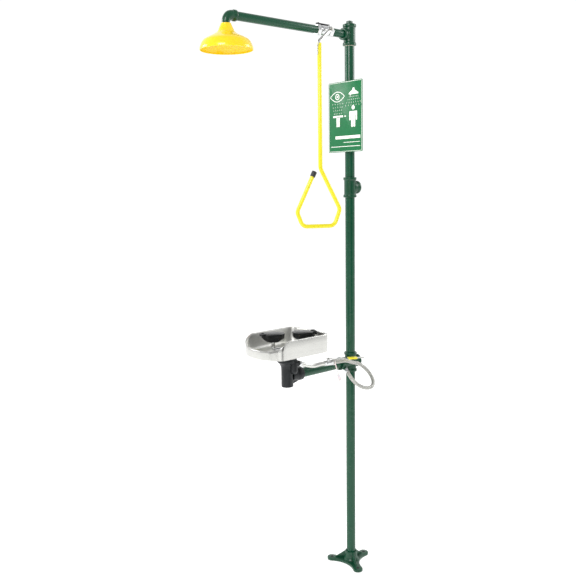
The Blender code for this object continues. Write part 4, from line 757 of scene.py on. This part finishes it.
# The plan: a front that bows out, tight corners, straight sides and a straight back. It is walked round
# at even steps, and then softened twelve times with its neighbours.
half_front, ROUND = 0.105, 240
bow = corner_y - front_y
front_r = (half_front**2 + bow**2) / (2 * bow)
fan = np.linspace(0, math.asin(half_front / front_r), 16)
front = np.column_stack([front_r * np.sin(fan), front_y + front_r - front_r * np.cos(fan), 0 * fan])
turns_at = [*front[[0, 5, 10, 15]], (side_x, corner_y + 3 * mm, 0), (side_x, rear_y, 0), (0, rear_y, 0)]
walk = filleted(turns_at, [0.15, 0.15, 24 * mm, 16 * mm, 32 * mm], 9)[:, :2]
walk = np.vstack([walk, (walk * [-1, 1])[-2:0:-1]])
closed = np.vstack([walk, walk[:1]])
far = np.concatenate([[0], np.cumsum(np.linalg.norm(np.diff(closed, axis=0), axis=1))])
at = np.linspace(0, far[-1], ROUND, endpoint=False)
bowl_plan = np.column_stack([np.interp(at, far, closed[:, k]) for k in (0, 1)])
for _ in range(12):
    bowl_plan = (np.roll(bowl_plan, 1, 0) + 2 * bowl_plan + np.roll(bowl_plan, -1, 0)) / 4
DRAIN_Y = -0.381
drain = np.array([0, DRAIN_Y])
# The rim is level at the back and falls 40 mm at the front, along a smooth step.
t = np.clip((-0.47 - bowl_plan[:, 1]) / 0.075, 0, 1)
rim = 1.148 - 0.040 * t * t * (3 - 2 * t)
inward = unit(drain - bowl_plan)
hole_at = drain - inward * 21 * mm
levels = []
waist = (1.09 + rim) / 2
# Up the skirt, over the rim and down inside: millimetres in from the plan, and the height there.
for inset, z in ((0, 1.073), (0, 1.09), (0, waist), (0, rim - 2.4 * mm), (0.5, rim - 0.8 * mm), (1.5, rim),
                 (4, rim + 0.3 * mm), (6, rim), (7.4, rim - 0.8 * mm), (8, rim - 2.4 * mm), (10, waist),
                 (13, 1.094), (16, 1.0862), (20, 1.0815), (24, 1.079)):
    levels.append(np.column_stack([bowl_plan + inward * inset * mm, np.broadcast_to(z, ROUND)]))
# Then across the dished floor to the drain, with a low ridge round the basin.
edge = levels[-1][:, :2]
for share in np.linspace(0.06, 1.0, 20):
    z = np.interp(share, [0, 0.45, 0.8, 1.0], [1.079, 1.067, 1.0545, 1.049])
    z += 1.8 * mm * math.exp(-(((share - 0.30) / 0.05) ** 2))
    levels.append(np.column_stack([edge + (hole_at - edge) * share, np.full(ROUND, z)]))
levels = np.array(levels)
run_u, run_v = np.roll(levels, -1, 1) - np.roll(levels, 1, 1), np.gradient(levels, axis=0)
normal = unit(np.cross(run_u, run_v))
sheet = np.vstack([levels + normal * 0.5 * mm, (levels - normal * 0.5 * mm)[::-1]])
bowl = piece("pressed_bowl", [shell(sheet, ring=True)], skirt_steel, "frame",
             ["eyewash_bowl"], sharp=60)
# Inside the rim the steel keeps the dull, even grain of the pressing: it holds light and mirrors nothing.
bowl.data.materials.append(brushed("dull_pressed_stainless", (1, 1, 1), (0.36, 0.48), 0.00003))
row = np.arange(len(bowl.data.polygons)) // ROUND
inside = np.minimum(row, 2 * len(levels) - 1 - row) > 7
bowl.data.polygons.foreach_set("material_index", inside.astype(np.int32))
# The strainer is a chromed cup with a lip; dark discs of painted shade stand for its six holes.
plate = np.array([(0.3, 2.4), (17.6, 2.4), (24, 4.6), (26.5, 4.9), (27.5, 4.4), (27, 3.4), (20, 0.2),
                  (18.5, -1), (18.5, -20), (16.5, -20), (16.5, -0.6), (0.3, 0.4)]) * mm
STRAINER = np.array([0, DRAIN_Y, 1.0503])
piece("strainer_plate", [spun(plate, STRAINER, Z_UP, 0.3 * mm)], chrome, "frame", ["bowl_strainer"])
spot = np.array([(0.3, 2.0), (3.2, 2.0), (3.5, 2.5), (3.1, 2.55), (0.3, 2.45)]) * mm
skins = []
for x, y in circle(6, 11.5 * mm):
    skins.append(spun(spot, STRAINER + [x, y, 0], Z_UP, 0.05 * mm, 24))
piece("strainer_hole_shade_discs", skins, hole_shade, "frame")
# The yoke is a chromed U of tube on a post over the strainer, with a spray head on each end.
LINE, HEAD_OUT = math.radians(243), 66 * mm
heads_line = np.array([math.cos(LINE), math.sin(LINE), 0])
POD_AT = np.array([0, -0.371, 0])
left, right = (POD_AT + heads_line * way * HEAD_OUT for way in (1, -1))
yoke_run = filleted([left + Z_UP * 1.1187, left + Z_UP * 1.084, right + Z_UP * 1.084, right + Z_UP * 1.1187],
                    14 * mm)
post = np.array([(0.3, 0), (9, 0), (9, 27), (12, 29), (12, 33), (0.3, 33)]) * mm
skins = [shell(carried(yoke_run, circle(40, 8 * mm))), spun(post, (0, DRAIN_Y, 1.0535), Z_UP, 1 * mm)]
piece("yoke", skins, chrome, "frame", ["spray_yoke"])

# ---- Spray heads ---------------------------------------------------------------------------------
# Two moulded black cups, longer than wide with narrow ends, each closed by a hinged dust cap that the
# water lifts. A plate is set into each cup under its cap, and two ears hold the cap's hinge barrel.
# Moulded ABS in black: deep and even, with a fine eroded grain and a low sheen.
abs_black = finish("black_moulded_plastic", ("0C0E0F", "121516"), 0.02, (0.24, 0.36), 0.008,
                   [(0.0009, 0.00004)], specular_ior_level=0.4)
CUP_LONG, CUP_WIDE = 47.5 * mm, 31.5 * mm
CORNERS = np.array([(1, 0.42), (0.62, 1), (-0.62, 1), (-1, 0.42), (-1, -0.42), (-0.62, -1), (0.62, -1),
                    (1, -0.42)])


def cup_ring(a, b, corner=5 * mm):
    """The spray head's outline at shares a of its length and b of its width, with rounded corners."""
    return eased(CORNERS * [CUP_LONG * a, CUP_WIDE * b], corner, True, 6)


for name, way in (("front", 1), ("rear", -1)):
    line = heads_line * way
    at = POD_AT + line * HEAD_OUT
    turned_axes = np.stack([line, np.cross(Z_UP, line), Z_UP])
    rows = [(0.50, 0.55, 1.1193), (0.56, 0.61, 1.1195), (0.76, 0.79, 1.1265), (0.93, 0.93, 1.1325),
            (0.96, 0.96, 1.136), (0.99, 0.99, 1.1475), (1.0, 1.0, 1.1492), (0.985, 0.985, 1.150),
            (0.915, 0.895, 1.150), (0.90, 0.88, 1.1494), (0.81, 0.79, 1.1386), (0.77, 0.75, 1.138),
            (0.1, 0.1, 1.138)]
    rings = np.array([np.column_stack([cup_ring(a, b), np.full(48, z)]) for a, b, z in rows])
    skins = [shell(rings @ turned_axes + at)]
    for side in (-1, 1):
        ear = board(18.5 * mm, 15 * mm, 3 * mm) + [44.75 * mm, 1.1495]
        skins.append(slab(ear, -1.5 * mm, 1.5 * mm, (turned_axes[0], Z_UP, np.cross(turned_axes[0], Z_UP)),
                          at + turned_axes[1] * side * 19.5 * mm, 0.5 * mm))
    piece("spray_cup_" + name, skins, abs_black, "frame", ["spray_head_" + name])
    cap_plan = cup_ring(1.02, 1.04)
    notched = np.where(np.abs(cap_plan[:, 1]) > 16.5 * mm, 33 * mm, 48 * mm)
    cap_plan[:, 0] = np.minimum(cap_plan[:, 0], notched)
    skins = [slab(cap_plan, 1.1505, 1.154, turned_axes, at, 0.9 * mm)]
    skins.append(slab(cup_ring(0.74, 0.72), 1.1538, 1.1549, turned_axes, at, 0.5 * mm))
    hinge = np.array([(0.3, -16.6), (4, -16.6), (4, 16.6), (0.3, 16.6)]) * mm
    skins.append(spun(hinge, at + line * 51.5 * mm + Z_UP * 1.1535, turned_axes[1], 0.6 * mm, 32))
    piece("cap_" + name, skins, abs_black, "dust_cap_" + name, ["dust_cap_" + name])

# ---- Drain casting and the arm that holds it -----------------------------------------------------
# A black coated iron casting: a tube flared under the bowl, a thick socket for the green arm, a web
# below it and a lobe where the supply enters, with a chrome compression nut. The coating keeps the
# sand grain of the mould, so it is rough and shines softly.
cast_black = finish("black_coated_cast_iron", ("14181A", "1B1F21"), 0.02, (0.26, 0.40), 0.01,
                    [(0.0018, 0.0003), (0.008, 0.0003)], specular_ior_level=0.3)
DRAIN = np.array([0, DRAIN_Y, 0])
tube_of = np.array([(20.5, 923), (24.5, 923), (25.5, 924.5), (25.5, 1002), (28, 1014), (34, 1024),
                    (41.5, 1031), (41.5, 1044.5), (30, 1044.5), (30, 1033), (20.5, 1010)]) * mm
ARM_AT = np.array([0, DRAIN_Y, CROSS_AT[2]])
socket = np.array([(21.4, 20), (25, 20), (26, 46), (29, 54), (29, 76), (21.4, 76)]) * mm
web = np.array([(9, 0), (64, -20), (56, -31), (28.5, -38), (9, -40.5)]) * mm
INLET, INLET_AIM = np.array([0.036, -0.341, 1.021]), unit([0.10, 0.95, -0.30])
lobe_at = INLET - INLET_AIM * 27 * mm
lobe = np.array([(0.5, 978), (10, 980), (16.5, 992), (16.5, 1036), (14, 1040.5), (0.5, 1040.5)]) * mm
inlet_boss = np.array([(6.5, -28), (12.5, -28), (12.5, -6.3), (6.5, -6.3)]) * mm
piece("drain_casting_body", [
    spun(tube_of, DRAIN, Z_UP, 2 * mm, 80, True), spun(socket, ARM_AT, BACK, 2.5 * mm, 72, True),
    slab(eased(web, 4 * mm, True), -5 * mm, 5 * mm, (BACK, Z_UP, SIDEWAYS), ARM_AT, 2 * mm),
    spun(lobe, (lobe_at[0] - 5 * mm, lobe_at[1], 0), Z_UP, 3 * mm, 48),
    spun(inlet_boss, INLET, INLET_AIM, 1 * mm, 48, True),
], cast_black, "frame", ["drain_casting"])
piece("eyewash_arm_pipe", [tube(59.5 * mm, 0.3305, CROSS_AT, FORWARD, POLE, 17.5 * mm)], enamel, "frame",
      ["eyewash_arm"])
ring_nut = np.array([(9.3, -5.7), (11.5, -5.7), (12.5, -4), (12.5, 4), (11, 6), (9.3, 6)]) * mm
piece("compression_nut", [spun(ring_nut, INLET, INLET_AIM, 0.8 * mm, 48, True)], chrome, "frame",
      ["inlet_nut"])

# ---- Eyewash supply: tube, valve and push lever --------------------------------------------------
# A bent stainless tube leads from a small ball valve to the casting. The valve's lever is a joggled
# stainless strip with a yellow plastic sleeve near its end.
# Drawn tube: an even, soft grey gleam with no brush lines.
tube_steel = brushed("drawn_stainless_tube", (1, 1, 1), (0.16, 0.30), 0.00002)
stop = VALVE_AT - FLOW * (HALF_VALVE + 0.3 * mm)
ways = [INLET - INLET_AIM * 5.4 * mm, INLET + INLET_AIM * 8 * mm, INLET + INLET_AIM * 22 * mm,
        (0.0445, -0.272, 0.9985), stop - FLOW * 22 * mm, stop - FLOW * 8 * mm, stop]
piece("supply_tube_bend", [shell(carried(clamped_spline(ways, 60), circle(40, 9 * mm)))], tube_steel, "frame",
      ["supply_tube"])
UPWARD = axes(FLOW, (0, 0, 1))[0]
piece("wash_valve", valve_skins(VALVE_AT, FLOW, UPWARD, 0.5, 13 * mm, 15.3 * mm), chrome, "frame",
      ["wash_valve_body", "wash_valve_retainer", "wash_packing_nut"])
lever_turn = math.radians(28.7)
lever_aim = np.array([math.sin(lever_turn), math.cos(lever_turn), 0])
lever_side = np.cross(lever_aim, Z_UP)
joggle = eased(np.array([(-9, 18.3), (14, 18.3), (24, 14.7), (160, 14.7)]) * mm, 4 * mm)
way = unit(np.gradient(joggle, axis=0))
off = np.column_stack([-way[:, 1], way[:, 0]]) * 1.1 * mm
strip = slab(np.vstack([joggle + off, (joggle - off)[::-1]]), -9.5 * mm, 9.5 * mm,
             (lever_aim, Z_UP, lever_side), VALVE_AT, 0.5 * mm)
piece("wash_lever_strip", [strip], rolled, "wash_lever", ["wash_lever"])
sleeve = board(23 * mm, 7 * mm, 2.6 * mm)
out_along = np.array([88, 88.5, 89.5, 127.5, 128.5, 129]) * mm
shrink = np.array([0.90, 0.96, 1, 1, 0.96, 0.90])
rows = [VALVE_AT + lever_aim * far + Z_UP * 14.7 * mm + sleeve * k @ np.stack([lever_side, Z_UP])
        for far, k in zip(out_along, shrink)]
piece("lever_sleeve", [shell(np.array(rows))], coating, "wash_lever", ["wash_lever_sleeve"])
small_nut = np.array([(2.1, 19.7), (4, 19.7), (4, 22.4), (2.1, 22.4)]) * mm
small_stem = np.array([(0.3, 8.6), (2, 8.6), (2, 15.7), (3.25, 15.7), (3.25, 16.8), (2, 16.8), (2, 23.3),
                       (0.3, 23.5)]) * mm
piece("wash_stem", [spun(small_stem, VALVE_AT, UPWARD, 0.2 * mm, 24),
                    spun(small_nut, VALVE_AT, UPWARD, 0.4 * mm, 48, True, (0, 1, 0), HEXAGON)],
      steel, "wash_lever", ["wash_valve_stem", "wash_lever_nut"])

# ---- Inspection tag ------------------------------------------------------------------------------
# A soft white plastic loop round the hose nut with a strap and a blank card, all one moulding.
# Flexible plastic, milky: a little light goes into it and comes out again.
tag_white = finish("white_tag_plastic", ("E9E4E2", "DDD6D5"), 0.01, (0.4, 0.55), 0.006, [(0.002, 0.0001)],
                   subsurface_weight=0.15, subsurface_scale=0.002)
ring_at = VALVE_AT + FLOW * 29 * mm
loop_of = np.array([(11, -2.5), (12.8, -2.5), (12.8, 2.5), (11, 2.5)]) * mm
strap_aim = unit([0.38, 0.02, -0.92])
tag_axes = axes(strap_aim, FLOW)[[0, 2, 1]]
start = ring_at + [9.5 * mm, 0, -7.5 * mm]
skins = [spun(loop_of, ring_at, FLOW, 0.5 * mm, 64, True)]
for wide, tall, corner, middle, half in ((5, 52, 0.5, 26, 0.8), (17, 28, 2, 60, 0.7)):
    card = board(wide * mm, tall * mm, corner * mm) + [0, middle * mm]
    skins.append(slab(card, -half * mm, half * mm, tag_axes, start, 0.3 * mm))
piece("tag", skins, tag_white, "frame", ["hang_tag"])

# ---- Sealed inside the valves --------------------------------------------------------------------
# The balls and their seats are never seen from outside: polished chrome balls, white seat rings.
# Turned PTFE: waxy white and matt.
seat_white = finish("white_seat_rings", ("EDEDE8", "E2E2DC"), 0.01, (0.4, 0.5), 0.005)
for prefix, at, flow, stem, k in (("shower", VALVE, FORWARD, SIDEWAYS, 1.0),
                                  ("wash", VALVE_AT, FLOW, UPWARD, 0.5)):
    half = np.linspace(0.68, math.pi - 0.68, 40)
    ball = 17.5 * np.column_stack([np.sin(half), np.cos(half)])
    piece(prefix + "_ball", [spun(ball * mm * k, at, np.cross(flow, stem), sides=48, ring=True)], chrome,
          prefix + "_lever", [prefix + "_valve_ball"])
    seat = np.array([(12.9, 12.5), (18.8, 12.5), (18.8, 16.2), (11.3, 16.2), (11.3, 14.1)]) * mm * k
    for name, way in (("inlet", -1), ("outlet", 1)):
        piece(f"{prefix}_seat_{name}", [spun(seat, at, flow * way, 0.3 * mm, 48, True)], seat_white, "frame",
              [f"{prefix}_valve_seat_{name}"])
